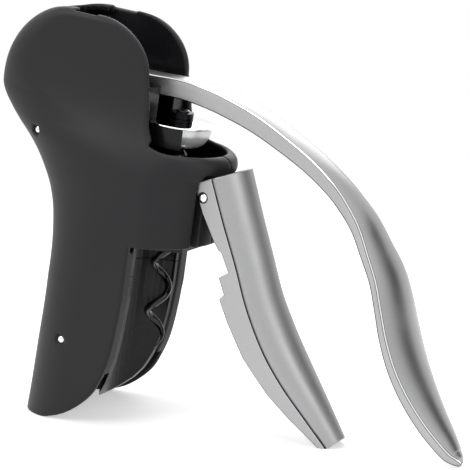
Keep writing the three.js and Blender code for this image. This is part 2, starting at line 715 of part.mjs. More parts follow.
function wormParts() {
  const coil = helix(wireRadius, wormTipZ, wormTurns, wormTaperTurns, 20);
  const shankStart = hubBottomZ - shankRadius;
  const collarZ = hubTopZ + washerThick + seat * 2;
  const shank = post(shankRadius, shankStart, collarZ + wormCollarThick + seat);
  const rootTaper = turned([
    [0, helixTopZ - wireRadius], [wormRadius, helixTopZ - wireRadius / 2],
    [wormRadius + wireRadius / 2, helixTopZ + wireRadius], [shankRadius, shankStart + seat],
    [0, shankStart + seat],
  ], 0, 28);
  place("worm", "worm", coil.add(rootTaper).add(shank), wormCoat);
  const bore = post(shankRadius + runningFit, collarZ - cutOver, collarZ + wormCollarThick + cutOver);
  const collar = post(wormCollarRadius, collarZ, collarZ + wormCollarThick);
  place("worm", "worm_collar", collar.subtract(bore), darkSteel);
}

// Gear sectors and racks

const toothPitchAngle = toothPitch / pitchRadius;
const pressure = pressureDeg * rad;

// Half of a sector tooth's angle at a radius, along an involute flank
function toothHalfAngle(radius) {
  const involute = (angle) => Math.tan(angle) - angle;
  const baseRadius = pitchRadius * Math.cos(pressure);
  const angleHere = Math.acos(Math.min(baseRadius / radius, 1));
  const halfAtPitch = (toothPitch / 2 - backlash) / 2 / pitchRadius;
  return halfAtPitch + involute(pressure) - involute(angleHere);
}

function gearSector(yLow, yHigh) {
  const point = (radius, angle) => [pivotX + radius * Math.cos(angle), pivotZ + radius * Math.sin(angle)];
  const rootRadius = pitchRadius - toothRoot;
  const start = sectorStartDeg * rad;
  const end = sectorEndDeg * rad;
  const web = [[pivotX, pivotZ]];
  const steps = 24;
  for (let i = 0; i <= steps; i += 1) web.push(point(rootRadius, start + (end - start) * (i / steps)));
  let sector = plateY(web, yLow, yHigh).add(barY(sectorHubRadius, yLow, yHigh, pivotX, pivotZ));
  const last = Math.floor(end / toothPitchAngle);
  for (let k = Math.ceil(start / toothPitchAngle); k <= last; k += 1) {
    const radii = [rootRadius - seat, rootRadius + seat, pitchRadius - toothModule / 3];
    radii.push(pitchRadius, pitchRadius + toothTip);
    const centre = k * toothPitchAngle;
    const rising = radii.map((radius) => point(radius, centre - toothHalfAngle(radius)));
    const falling = radii.map((radius) => point(radius, centre + toothHalfAngle(radius))).reverse();
    sector = sector.add(plateY([...rising, ...falling], yLow, yHigh));
  }
  return sector.subtract(hubBores());
}

const rivetTurnsDeg = [90, 210, 330];
const rivetPlace = (deg) => [
  pivotX + rivetPlaceRadius * Math.cos(deg * rad), pivotZ + rivetPlaceRadius * Math.sin(deg * rad),
];

// The axle's bore and the rivet holes through the arm and both sectors
function hubBores() {
  let bores = barY(axleRadius + runningFit, -loose, loose, pivotX, pivotZ);
  rivetTurnsDeg.forEach((deg) => {
    const [x, z] = rivetPlace(deg);
    bores = bores.add(barY(rivetRadius + runningFit, -loose, loose, x, z, 0, 16));
  });
  return bores;
}

function sectorsAndAxle() {
  place("lever", "left_gear_sector", gearSector(sectorInner, sectorOuter), darkSteel);
  place("lever", "right_gear_sector", gearSector(-sectorOuter, -sectorInner), darkSteel);
  rivetTurnsDeg.forEach((deg, i) => {
    const [x, z] = rivetPlace(deg);
    const rivet = barY(rivetRadius, -sectorOuter, sectorOuter, x, z, 0, 16);
    place("lever", `gear_rivet_${i + 1}`, rivet, chrome);
  });
  place("lever", "lever_axle", barY(axleRadius, -plateOuter, plateOuter, pivotX, pivotZ), chrome);
}

const rackRivetX = rackBackX - rackBody / 2;
const rackRivetShares = [0.3, 0.7];

// The rivets through the racks and the carrier's lug, or the holes for them
function rackRivets(radius, reach) {
  return rackRivetShares.map((share) => {
    const z = hubTopZ - (hubDepth + carrierPlate) * share;
    return barY(radius, -reach, reach, rackRivetX, z, 0, 12);
  });
}

function rackRivetHoles() {
  const [high, low] = rackRivets(rackRivetRadius + runningFit, bodyHalfWidth);
  return high.add(low);
}

function rack(yLow, yHigh) {
  const rootX = pitchLineX + toothRoot;
  const tipX = pitchLineX - toothTip;
  let bar = block(rootX, rackBackX, yLow, yHigh, rackBottomZ, rackTopZ);
  const slope = Math.tan(pressure);
  const halfAtPitch = (toothPitch / 2 - backlash) / 2;
  const halfAtRoot = halfAtPitch + toothRoot * slope;
  const halfAtTip = halfAtPitch - toothTip * slope;
  const reach = Math.ceil((pivotZ - rackBottomZ) / toothPitch);
  for (let k = -reach; k <= reach; k += 1) {
    const z = pivotZ + k * toothPitch + toothPitch / 2;
    const fits = z - halfAtRoot > rackBottomZ && z + halfAtRoot < rackTopZ;
    const tooth = [[rootX + seat, z - halfAtRoot], [rootX, z - halfAtRoot], [tipX, z - halfAtTip]];
    tooth.push([tipX, z + halfAtTip], [rootX, z + halfAtRoot], [rootX + seat, z + halfAtRoot]);
    if (fits) bar = bar.add(plateY(tooth, yLow, yHigh));
  }
  return bar.subtract(rackRivetHoles());
}

// Worm carrier: a chromed round plate over a bell, with a lug to the racks

function carrierBell() {
  const profile = [[0, hubBottomZ]];
  const steps = 8;
  for (let i = 0; i <= steps; i += 1) {
    const turn = (Math.PI / 2) * (i / steps);
    const bulge = (bellRadius - hubRadius) * Math.sin(turn);
    profile.push([hubRadius + bulge, carrierPlateZ - hubDepth * Math.cos(turn)]);
  }
  profile.push([bellRadius, hubTopZ], [0, hubTopZ]);
  return turned(profile, 0, 48);
}

function wormCarrier() {
  const lugHalf = sectorInner - seat;
  const rearX = pitchLineX + toothRoot;
  const plate = post(carrierRadius, carrierPlateZ, hubTopZ, 0, 48);
  const rearCut = guideFrontX + seat;
  const cutBottomZ = hubBottomZ - cutOver;
  const sideCut = block(-loose, rearCut, lugHalf, loose, cutBottomZ, hubTopZ + cutOver);
  const otherCut = block(-loose, rearCut, -loose, -lugHalf, cutBottomZ, hubTopZ + cutOver);
  const lug = block(rearX, 0, -lugHalf, lugHalf, hubBottomZ, hubTopZ);
  let carrier = plate.add(carrierBell()).subtract(sideCut).subtract(otherCut).add(lug);
  carrier = carrier.subtract(post(shankRadius + runningFit, cutBottomZ, hubTopZ + cutOver));
  return carrier.subtract(rackRivetHoles());
}

function carrierParts() {
  place("carrier", "worm_carrier", wormCarrier(), chrome);
  place("carrier", "left_rack", rack(sectorInner, sectorOuter), darkSteel);
  place("carrier", "right_rack", rack(-sectorOuter, -sectorInner), darkSteel);
  rackRivets(rackRivetRadius, sectorOuter).forEach((rivet, i) => {
    place("carrier", `rack_rivet_${i + 1}`, rivet, chrome);
  });
  const washerZ = hubTopZ + seat;
  const washer = post(washerRadius, washerZ, washerZ + washerThick);
  const bore = post(shankRadius + runningFit, washerZ - cutOver, washerZ + cutOver);
  place("carrier", "thrust_washer", washer.subtract(bore), darkSteel);
}

function leverForm() {
  const path = leverShares.map(([x, z]) => [pivotX + x * leverReach, pivotZ - z * leverDrop]);
  const rings = leverShares.map(([, , widthShare, sideShare, crownShare], i) => {
    const before = path[Math.max(i - 1, 0)];
    const after = path[Math.min(i + 1, path.length - 1)];
    const run = Math.hypot(after[0] - before[0], after[1] - before[1]);
    const normal = [-(after[1] - before[1]) / run, (after[0] - before[0]) / run];
    const half = leverHalfWidth * widthShare;
    const side = leverSideTop * sideShare;
    const bevel = Math.min(leverBevel, half / 3);
    const top = side + leverBevelRise * (bevel / leverBevel);
    const crown = leverCrown + paddleCrown * crownShare;
    const profile = [[-half, 0], [-half, side]];
    leverCrownShares.forEach((share) => {
      profile.push([(half - bevel) * share, top + crown * (1 - share * share)]);
    });
    profile.push([half, side], [half, 0]);
    return profile.map(([y, n]) => {
      return new THREE.Vector3(path[i][0] + normal[0] * n, y, path[i][1] + normal[1] * n);
    });
  });
  return skin(rings);
}

function leverPiece() {
  const hub = barY(armHubRadius, -armHalfWidth, armHalfWidth, pivotX, pivotZ, 0, 48);
  const made = leverForm().add(hub).subtract(hubBores()).subtract(underFloor());
  place("lever", "lever", made, castMetal);
}

function gripForm(inset) {
  const path = gripShares.map(([x, z]) => [gripTopX + x * gripReach, gripTopZ - z * gripDrop]);
  const rings = gripShares.map(([, , widthShare, depthShare], i) => {
    const before = path[Math.max(i - 1, 0)];
    const after = path[Math.min(i + 1, path.length - 1)];
    const run = Math.hypot(after[0] - before[0], after[1] - before[1]);
    const along = [(after[0] - before[0]) / run, (after[1] - before[1]) / run];
    const normal = [-along[1], along[0]];
    const half = gripHalfTop * widthShare - inset;
    const depth = gripFlange * depthShare + inset * 2;
    const slip = i === 0 ? -inset : i === path.length - 1 ? inset : 0;
    const profile = [[-half, -depth], [-half, 0]];
    const steps = 12;
    for (let j = 1; j < steps; j += 1) {
      const turn = Math.PI * (j / steps);
      profile.push([-half * Math.cos(turn), half * Math.sin(turn)]);
    }
    profile.push([half, 0], [half, -depth]);
    return profile.map(([y, n]) => new THREE.Vector3(
      path[i][0] + normal[0] * n + along[0] * slip, y, path[i][1] + normal[1] * n + along[1] * slip,
    ));
  });
  return skin(rings);
}

function gripPiece() {
  const rear = gripRearShares.map(([x, z]) => [gripTopX + x * gripReach, gripTopZ - z * gripDrop]);
  const keep = [...rear, [loose, -loose], [loose, loose], [rear[0][0], loose]];
  const channel = gripForm(0).subtract(gripForm(gripWall)).intersect(plateY(keep, -loose, loose));
  const bore = barY(gripPinRadius + runningFit, -loose, loose, gripPinX, gripPinZ);
  place("grip", "grip", channel.subtract(bore).subtract(underFloor()), castMetal);
  const pin = barY(gripPinRadius, -gripHalfTop, gripHalfTop, gripPinX, gripPinZ, gripPinDome);
  place("body", "grip_pin", pin, chrome);
}

bodyShells();
crossPins();
plateAndBushPairs();
slotStop();
nutPlate();
neckLiner();
wormNut();
wormParts();
sectorsAndAxle();
carrierParts();
leverPiece();
gripPiece();

// The origin is the middle of the base of the whole corkscrew's box
corkscrew.updateMatrixWorld(true);
const box = new THREE.Box3().setFromObject(corkscrew, true);
const middle = box.getCenter(new THREE.Vector3());
leaned.position.set(-middle.x, -middle.y, -box.min.z);

export default corkscrew;
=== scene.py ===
# %% [markdown]
# A lever corkscrew with a leaning moulded body, a cast lever and a clamp grip. The solid model
# gives the size and the joints. This lesson dresses it: each step makes one real piece as a fine
# mesh with a procedural finish. Points are worked out in millimetres in the corkscrew's own
# leaned frame, where Z is the worm's axis and X points forward, and are then turned upright.

import json
import math
from itertools import product

import bmesh
import bpy
import numpy as np
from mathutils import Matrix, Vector


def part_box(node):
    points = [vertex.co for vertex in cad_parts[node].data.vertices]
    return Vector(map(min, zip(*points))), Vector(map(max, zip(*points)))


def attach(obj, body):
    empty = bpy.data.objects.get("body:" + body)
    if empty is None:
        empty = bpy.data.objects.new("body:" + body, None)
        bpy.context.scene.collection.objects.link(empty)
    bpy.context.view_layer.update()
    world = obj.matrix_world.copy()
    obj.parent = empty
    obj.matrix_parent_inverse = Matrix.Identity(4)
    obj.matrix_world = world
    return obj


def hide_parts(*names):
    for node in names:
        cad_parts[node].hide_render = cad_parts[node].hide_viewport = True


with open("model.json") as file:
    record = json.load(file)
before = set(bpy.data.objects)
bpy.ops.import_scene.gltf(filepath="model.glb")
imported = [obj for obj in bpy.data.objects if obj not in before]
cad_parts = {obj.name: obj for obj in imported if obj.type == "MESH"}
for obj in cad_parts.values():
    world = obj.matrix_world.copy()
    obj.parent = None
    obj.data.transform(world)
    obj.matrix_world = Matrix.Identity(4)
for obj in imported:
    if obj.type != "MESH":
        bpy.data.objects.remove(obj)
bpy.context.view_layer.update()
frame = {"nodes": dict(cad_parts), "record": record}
scene = bpy.context.scene

# %% [markdown]
# The body leans forward about the Y axis. One joint, the slide of the worm's carrier, runs along
# the leaned axis, so the lean and the axis's place are read from the joints rather than typed.

# %% The leaned frame
joints = {joint["name"]: joint for joint in frame["record"]["behaviour"]["joints"]}
slide_axis = joints["carrier_slide"]["axis"]
LEAN = math.atan2(slide_axis[0], slide_axis[2])
LEAN_COS, LEAN_SIN = math.cos(LEAN), math.sin(LEAN)
spin_place = joints["worm_spin"]["pos_m"]
AXIS_FOOT_X = spin_place[0] - spin_place[2] * math.tan(LEAN)
MM = 0.001


def to_row(points):
    """Points in millimetres in the leaned frame, as metres in the upright frame."""
    p = np.asarray(points, dtype=float)
    x = p[..., 0] * LEAN_COS + p[..., 2] * LEAN_SIN
    z = -p[..., 0] * LEAN_SIN + p[..., 2] * LEAN_COS
    return np.stack([AXIS_FOOT_X + x * MM, p[..., 1] * MM, z * MM], axis=-1)


print("lean", round(math.degrees(LEAN), 2), "degrees, foot of the axis at", round(AXIS_FOOT_X, 5))

# %% [markdown]
# Moulded and cast pieces have soft edges everywhere, and these edges carry the highlights. A
# distance field suits them: a function is negative inside the piece and positive outside, and
# its zero surface is the skin. Joining two fields with a rounded maximum or minimum rounds the
# edge between them. The skin is found on a grid by surface nets, one point for each cell that it
# crosses, and every point is then moved exactly onto the skin.

# %% Distance field helpers
FAR, HIGH = 60.0, 200.0  # past the tool's sides, and past its top
DEEP = 40.0  # a field reads no further than this from the skin
LEAST_SLOPE, LEAST_SQUARE, TINY = 1e-4, 0.05, 1e-9  # what slopes and lengths are kept above


def round_max(a, b, radius):
    """Both at once: the overlap of two fields, with its edge rounded."""
    return np.minimum(-radius, np.maximum(a, b)) + np.hypot(
        np.maximum(a + radius, 0), np.maximum(b + radius, 0)
    )


def round_min(a, b, radius):
    """Either one: two fields joined, with a fillet between them."""
    return -round_max(-a, -b, radius)


def true_scale(field, x, y, z, step=0.04):
    """A field divided by its own slope, so that it reads in millimetres near the skin."""
    here = field(x, y, z)
    slope = [
        (field(x + step, y, z) - here) / step,
        (field(x, y + step, z) - here) / step,
        (field(x, y, z + step) - here) / step,
    ]
    size = np.sqrt(slope[0] ** 2 + slope[1] ** 2 + slope[2] ** 2)
    return np.clip(here / np.maximum(size, LEAST_SLOPE), -DEEP, DEEP)


def plane_box(x, y, z, low, high):
    """A box with square edges."""
    span = [np.maximum(lo - v, v - hi) for v, lo, hi in zip((x, y, z), low, high)]
    return np.maximum(np.maximum(span[0], span[1]), span[2])


def outline_field(points):
    """The signed distance to a closed outline of [x, z] points, seen from the side."""
    start = np.array(points, dtype=float)
    end = np.roll(start, -1, axis=0)
    along = end - start
    length = (along ** 2).sum(axis=1)
    keep = length > TINY
    start, end, along, length = start[keep], end[keep], along[keep], length[keep]

    def field(x, z):
        x, z = np.broadcast_arrays(x, z)
        best = np.full(x.shape, np.inf)
        inside = np.zeros(x.shape, dtype=bool)
        for (ax, az), (bx, bz), (dx, dz), size in zip(start, end, along, length):
            t = np.clip(((x - ax) * dx + (z - az) * dz) / size, 0, 1)
            best = np.minimum(best, (x - ax - t * dx) ** 2 + (z - az - t * dz) ** 2)
            crosses = (az > z) != (bz > z)
            if dz:
                inside ^= crosses & (x < ax + (z - az) * dx / dz)
        return np.where(inside, -1, 1) * np.sqrt(best)

    return field


def curve_through(pairs):
    """A smooth curve through rising [place, value] pairs, read at any place."""
    place, value = np.array(pairs, dtype=float).T
    before = np.maximum(np.arange(len(place)) - 1, 0)
    after = np.minimum(np.arange(len(place)) + 1, len(place) - 1)
    slope = (value[after] - value[before]) / (place[after] - place[before])

    def read(at):
        at = np.clip(at, place[0], place[-1])
        i = np.clip(np.searchsorted(place, at, side="right") - 1, 0, len(place) - 2)
        span = place[i + 1] - place[i]
        t = (at - place[i]) / span
        h = t * t * (3 - 2 * t)
        rise = span * (slope[i] * t * (1 - t) ** 2 - slope[i + 1] * t * t * (1 - t))
        return value[i] * (1 - h) + value[i + 1] * h + rise

    return read


# %% Skin of a field


def surface_net(field, low, high, cell):
    """Points and four-sided faces of a field's skin, in a box of cells."""
    axes = [np.arange(lo - cell, hi + 2 * cell, cell) for lo, hi in zip(low, high)]
    x, y, z = np.meshgrid(*axes, indexing="ij", sparse=True)
    value = np.broadcast_to(field(x, y, z), [len(a) for a in axes]).astype(float)
    inside = value < 0
    shape = [n - 1 for n in value.shape]
    total = np.zeros(shape + [3])
    count = np.zeros(shape)
    corners = list(product((0, 1), repeat=3))

    def corner(array, offset):
        return array[tuple(slice(o, o + n) for o, n in zip(offset, shape))]

    for first in corners:
        for axis in range(3):
            if first[axis]:
                continue
            second = tuple(o + (i == axis) for i, o in enumerate(first))
            a, b = corner(value, first), corner(value, second)
            cut = corner(inside, first) != corner(inside, second)
            t = np.where(cut, a / np.where(cut, a - b, 1), 0)
            for i in range(3):
                total[..., i] += np.where(cut, first[i] + (t if i == axis else 0), 0)
            count += cut
    filled = count > 0
    number = np.full(shape, -1)
    number[filled] = np.arange(filled.sum())
    place = np.argwhere(filled) + total[filled] / count[filled][:, None]
    points = np.array([a[0] for a in axes]) + place * cell
    faces = []
    for axis in range(3):
        u, v = [i for i in range(3) if i != axis]
        ends = [tuple(part if i == axis else slice(None) for i in range(3))
                for part in (slice(0, -1), slice(1, None))]
        spots = np.argwhere(inside[ends[0]] != inside[ends[1]])
        spots = spots[(spots[:, u] > 0) & (spots[:, v] > 0)]
        spots = spots[(spots[:, u] < shape[u]) & (spots[:, v] < shape[v])]
        ring = []
        for du, dv in ((1, 1), (0, 1), (0, 0), (1, 0)):
            at = spots.copy()
            at[:, u] -= du
            at[:, v] -= dv
            ring.append(number[at[:, 0], at[:, 1], at[:, 2]])
        quad = np.stack(ring, axis=1)
        faces_out = inside[ends[0]][tuple(spots.T)] != (axis == 1)
        faces.append(np.where(faces_out[:, None], quad, quad[:, ::-1]))
    return points, np.concatenate(faces)


def settle(field, points, limit, rounds=4, step=0.02):
    """Moves points onto the skin along the field's slope, no further than the limit each time."""
    p = points.copy()
    for _ in range(rounds):
        x, y, z = p.T
        here = field(x, y, z)
        slope = np.stack([
            field(x + step, y, z) - field(x - step, y, z),
            field(x, y + step, z) - field(x, y - step, z),
            field(x, y, z + step) - field(x, y, z - step),
        ], axis=1) / (2 * step)
        size = np.maximum((slope ** 2).sum(axis=1), LEAST_SQUARE)
        move = -slope * (here / size)[:, None]
        reach = np.linalg.norm(move, axis=1)
        p += move * np.minimum(1, limit / np.maximum(reach, TINY))[:, None]
    return p


def make_object(name, points_mm, faces, material):
    """A mesh object at the origin from points in the leaned frame, shaded smooth."""
    mesh = bpy.data.meshes.new(name)
    mesh.from_pydata(to_row(points_mm).tolist(), [], [list(map(int, f)) for f in faces])
    mesh.validate()
    mesh.polygons.foreach_set("use_smooth", [True] * len(mesh.polygons))
    mesh.materials.append(material)
    obj = bpy.data.objects.new(name, mesh)
    scene.collection.objects.link(obj)
    return obj


# %% [markdown]
# Eleven finishes cover the whole tool. Each one is a small node tree on Object coordinates. A slow
# noise, the drift, varies the roughness and the tone a little, as real handling does, and in most
# of them a bump from a finer noise or from the drift gives the surface its grain. Numbers that are
# the same all over sit on the shader's own sockets. Three of them also hold painted light: the
# bell's pale finish is a painted reflection, and the near-black steel and the moulded black are
# partly painted shade.

# %% Finish helpers
NOISE_SPAN = (0.3, 0.7)  # a noise seldom reads less or more


def fill(tree, node, inputs):
    """Gives each named input of a node another node's output, or a plain value."""
    for socket, value in inputs.items():
        if isinstance(value, bpy.types.NodeSocket):
            tree.links.new(value, node.inputs[socket])
        else:
            node.inputs[socket].default_value = value


def add(tree, kind, inputs=None, **settings):
    """A new node. Its settings, such as an operation, come before its inputs."""
    node = tree.nodes.new(kind)
    for name, value in settings.items():
        setattr(node, name, value)
    fill(tree, node, inputs or {})
    return node


def shader_tree(name):
    """A new material with its node tree and its shader."""
    material = bpy.data.materials.new(name)
    material.use_nodes = True
    return material, material.node_tree, material.node_tree.nodes["Principled BSDF"]


def object_noise(tree, scale, detail=3.0, stretch=(1, 1, 1)):
    """Noise on Object coordinates, with its pattern turned along the leaned axis."""
    coords = add(tree, "ShaderNodeTexCoord").outputs["Object"]
    leaned = {"Vector": coords, "Rotation": (0, -LEAN, 0), "Scale": stretch}
    place = add(tree, "ShaderNodeMapping", leaned).outputs["Vector"]
    noise = {"Vector": place, "Scale": scale, "Detail": detail}
    return add(tree, "ShaderNodeTexNoise", noise).outputs["Fac"]


def finish(name, metallic, drift, rough, tones, toned=None, fine=None, bump=None, extra=None):
    """A material. Drift, toned and fine say what each noise is; bump is [millimetres, strength]."""
    material, tree, shader = shader_tree(name)
    drift = object_noise(tree, *drift)
    ramp = add(tree, "ShaderNodeMapRange", {
        "Value": drift, "From Min": NOISE_SPAN[0], "From Max": NOISE_SPAN[1],
        "To Min": rough[0], "To Max": rough[1],
    })
    mix = add(tree, "ShaderNodeMix", {
        "Factor": object_noise(tree, *toned) if toned else drift,
        "A": (*tones[0], 1), "B": (*tones[1], 1),
    }, data_type="RGBA")
    # The first tone and roughness stand in wherever the nodes are not read
    fill(tree, shader, {"Base Color": (*tones[0], 1), "Roughness": rough[0],
                        "Metallic": metallic, **(extra or {})})
    fill(tree, shader, {"Base Color": mix.outputs["Result"], "Roughness": ramp.outputs["Result"]})
    if bump:
        grain = add(tree, "ShaderNodeBump", {
            "Height": object_noise(tree, *fine) if fine else drift,
            "Distance": bump[0] * MM, "Strength": bump[1],
        })
        fill(tree, shader, {"Normal": grain.outputs["Normal"]})
    return material


def cast_metal(name, rough, light, grain_mm):
    """The cast metal's tone is nearly even; its grain's height sets satin apart from blasted."""
    tones = [[light * share for share in shares] for shares in CAST_SHARES]
    return finish(name, 1, [45], rough, tones, [900, 4], [4200, 2], [grain_mm, 0.5])


CAST_SHARES = [(0.95, 0.95, 0.96), (1.04, 1.04, 1.05)]

# %% Finishes
soft_touch = finish(
    "soft_touch_black", 0, [38], [0.46, 0.56], [(0.0155, 0.0155, 0.017), (0.0185, 0.0185, 0.0205)],
    fine=[5200, 2], bump=[0.02, 0.35],
    extra={"Specular IOR Level": 0.28, "Sheen Weight": 0.06, "Sheen Roughness": 0.4},
)
# Moulded black for the inside: darker than the skin, and its extra darkness is painted shade.
inner_black = finish(
    "moulded_black_and_painted_shade", 0, [60], [0.22, 0.36], [(0.008, 0.008, 0.0095), (0.012, 0.012, 0.014)],
    fine=[2600, 2], bump=[0.02, 0.2], extra={"Specular IOR Level": 0.25},
)
worm_coat = finish(
    "worm_coating", 0, [160], [0.12, 0.24], [(0.004, 0.004, 0.005), (0.008, 0.008, 0.009)],
    fine=[1800, 2], bump=[0.01, 0.15],
    extra={"Specular IOR Level": 0.3, "Coat Weight": 0.25, "Coat Roughness": 0.04},
)
satin_cast = cast_metal("satin_cast", [0.3, 0.36], 0.37, 0.006)
satin_grip = cast_metal("satin_grip", [0.44, 0.52], 0.37, 0.006)
blasted_cast = cast_metal("blasted_cast", [0.42, 0.5], 0.42, 0.02)
bright_edge = cast_metal("bright_edge", [0.08, 0.14], 0.86, 0.002)
chrome = finish(
    "polished_chrome", 1, [120], [0.03, 0.08], [(0.84, 0.85, 0.86), (0.89, 0.9, 0.91)],
)
# Painted reflection: the bell's pale, mostly diffuse colour stands in for the white surroundings.
bell_painted_reflection = finish(
    "bell_painted_reflection", 0.35, [140], [0.24, 0.36], [(0.91, 0.91, 0.92), (0.95, 0.95, 0.96)],
)
# Near-black steel: the parts' own dark steel, darkened further as painted shade inside the body.
dark_steel = finish(
    "blackened_steel_and_painted_shade", 1, [260, 3, (1, 1, 0.06)], [0.3, 0.5],
    [(0.009, 0.009, 0.01), (0.016, 0.016, 0.018)], bump=[0.02, 0.3],
)
brass = finish(
    "turned_brass", 1, [320, 3, (1, 0.08, 1)], [0.22, 0.42],
    [(0.5, 0.33, 0.12), (0.62, 0.43, 0.18)], bump=[0.01, 0.3],
)
print(len(bpy.data.materials), "finishes")

# %% [markdown]
# The body's skin follows a few measured curves: the rear edge, the flare from the slim cheeks to
# the full barrel, and the bulge of the collar. Each is a short table of shares, read smoothly
# between its rows. Sizes are in millimetres, and heights run up the leaned axis.

# %% The body's sizes and curves
BODY_TOP = 151.4
BODY_FOOT = -14.0
HEAD_RADIUS = 34.0
HEAD_X = -43.6
HEAD_Z = BODY_TOP - HEAD_RADIUS
REAR_REACH = HEAD_RADIUS - HEAD_X
HALF_WIDTH, CHEEK_HALF = 23.2, 15.5
FRONT = 19.4
WALL, FRONT_WALL = 2.5, 5.2
RIM_Z = 108.8
HEM_Z = 71.0
HEM_RISE = 2.6
LEG_X = -2.4
SEAM = 0.04
ROUND = 2.35  # the exponent of the rear's rounded corners: 2 is an ellipse, more is squarer

rear_shares = [
    [-0.092, 0.62], [0.024, 0.605], [0.135, 0.595], [0.272, 0.582], [0.396, 0.583],
    [0.484, 0.607], [0.545, 0.65], [0.5865, 0.699], [0.6245, 0.756], [0.6566, 0.8175],
    [0.694, 0.903], [0.732, 0.968], [0.755, 0.992], [0.7755, 1], [0.79, 1],
]
flare_shares = [
    [-0.62, 1], [-0.45, 0.985], [-0.3, 0.93], [-0.17, 0.82], [-0.06, 0.66], [0.03, 0.5],
    [0.13, 0.34], [0.25, 0.2], [0.4, 0.09], [0.55, 0.03], [0.72, 0],
]
bulge_shares = [
    [-0.411, 0], [-0.307, 0.1], [-0.247, 0.63], [-0.202, 0.95], [-0.143, 1],
    [-0.098, 0.9], [-0.054, 0.6], [0, -0.05],
]
rear_round_shares = [
    [0.33, 0.31], [0.46, 0.4], [0.557, 0.56], [0.655, 0.73], [0.72, 0.69], [0.773, 0.46],
    [0.852, 0.22], [0.98, 0.16],
]
rear_side_shares = [[0.69, 1], [0.73, 0.93], [0.8, 0.78], [0.9, 0.68]]
leg_shares = [
    [-0.2, 1.7], [-0.085, 1.3], [-0.018, 0.884], [0.051, 0.612], [0.144, 0.362], [0.24, 0.224],
    [0.356, 0.112], [0.5, 0.047], [0.7, 0],
]


def scaled(pairs, along, value):
    return [[a * along, b * value] for a, b in pairs]


rear_edge = curve_through(scaled(rear_shares, BODY_TOP, -REAR_REACH))
flare = curve_through(scaled(flare_shares, HEAD_RADIUS, HALF_WIDTH - CHEEK_HALF))
bulge = curve_through(scaled(bulge_shares, HEAD_RADIUS, HALF_WIDTH - FRONT))
rear_round = curve_through(scaled(rear_round_shares, BODY_TOP, REAR_REACH))
rear_side = curve_through(scaled(rear_side_shares, BODY_TOP, 1))
# Round the head, by degrees from its rearmost point: the corner's depth and share of the width
head_depth = curve_through([[0, 35.3], [8, 27], [20, 19], [40, 13], [60, 9], [78, 4.4], [90, 3.2]])
head_side = curve_through([[0, 0.83], [20, 0.78], [40, 0.7], [60, 0.54], [78, 0.3], [90, 0.21]])
leg_sweep = curve_through(scaled(leg_shares, HEM_Z, HALF_WIDTH))
LEAST_FLAT = 0.2  # of the side, between its two rounded corners
CHEEK_RISE = 0.5  # above the rim, where the flat cheeks take over from the round collar


def body_form(inset, front_inset):
    """The body without its openings: a rounded rear, flat sides and a rounded front."""

    def field(x, y, z):
        half = CHEEK_HALF + flare(z - RIM_Z) - inset
        head = z > HEAD_Z
        back = np.maximum(HEAD_X - x, 0)
        circle = np.hypot(back, z - HEAD_Z) - (HEAD_RADIUS - inset)
        behind = np.where(head, circle, rear_edge(z) + inset - x)
        turn = np.degrees(np.arctan2(np.maximum(z - HEAD_Z, 0), back + 1e-6))
        rear_x = np.where(head, head_depth(turn), rear_round(z)) - inset
        rear_y = np.minimum(half - LEAST_FLAT, half * np.where(head, head_side(turn), rear_side(z)))
        u = np.maximum(behind + rear_x, 0) / rear_x
        v = np.maximum(np.abs(y) - half + rear_y, 0) / rear_y
        rear_part = ((u ** ROUND + v ** ROUND) ** (1 / ROUND) - 1) * rear_y
        front_x = FRONT + bulge(z - RIM_Z) - front_inset
        front_part = (np.hypot(np.maximum(x, 0) / front_x, np.abs(y) / half) - 1) * half
        upper = np.where(z > RIM_Z + CHEEK_RISE, np.abs(y) - half, front_part)
        return np.where(x < 0, rear_part, upper)

    return field


print("rear edge at the waist", round(float(rear_edge(np.array(50.0))), 1), "mm")

# %% [markdown]
# Seen from the side, one outline trims the body: the curved front edges of the legs, the hem
# over the bottle's neck, the collar's rim and the round front of the two cheeks. The edges that
# it leaves are rounded softly, most of all along the collar's rim.

# %% The side outline
HEAD_CORNER_X, HEAD_CORNER_RISE = -33.0, 20.0
CHEEK_TOP_X, CHEEK_FOOT_X, CHEEK_FILLET = -8.0, -5.6, 12.0
BELOW, ABOVE = BODY_FOOT - 4, BODY_TOP + 30  # past the feet, and past the top
LEG_TOP_Z, HEM_FAR_RISE = HEM_Z * 0.7, 1.0
LEG_STEPS, FILLET_STEPS, CHEEK_STEPS = 40, 24, 28


def side_outline():
    """The outline, run up the legs, over the collar and cheeks, and round far behind."""
    points = [[-2 * FAR, BELOW]]
    for z in np.linspace(BELOW, LEG_TOP_Z, LEG_STEPS):
        points.append([LEG_X - float(leg_sweep(z)), z])
    hem_front = HEM_Z + HEM_RISE
    points += [[LEG_X, HEM_Z], [FRONT, hem_front], [FAR, hem_front + HEM_FAR_RISE]]
    points += [[FAR, RIM_Z], [CHEEK_FOOT_X + CHEEK_FILLET, RIM_Z]]
    for turn in np.linspace(-0.5 * math.pi, -math.pi, FILLET_STEPS):
        points.append([
            CHEEK_FOOT_X + CHEEK_FILLET * (1 + math.cos(turn)),
            RIM_Z + CHEEK_FILLET * (1 + math.sin(turn)),
        ])
    for turn in np.linspace(0, 0.5 * math.pi, CHEEK_STEPS):
        points.append([
            HEAD_CORNER_X + (CHEEK_TOP_X - HEAD_CORNER_X) * math.cos(turn),
            BODY_TOP + (math.sin(turn) - 1) * HEAD_CORNER_RISE,
        ])
    points += [[HEAD_CORNER_X, ABOVE], [-2 * FAR, ABOVE]]
    return outline_field(points)


side_cut = side_outline()
above_rim = float(side_cut(np.array(0.0), np.array(RIM_Z + 3)))
print("3 mm above the rim is", round(above_rim, 2), "mm outside the outline")

# %% [markdown]
# Each half of the body is a hollow moulding. The hollow is the same form moved inwards by the
# wall, joined with the round space for the bottle's neck, the scoop in the collar and the slot
# between the cheeks, which the lever swings in.

# %% The hollow


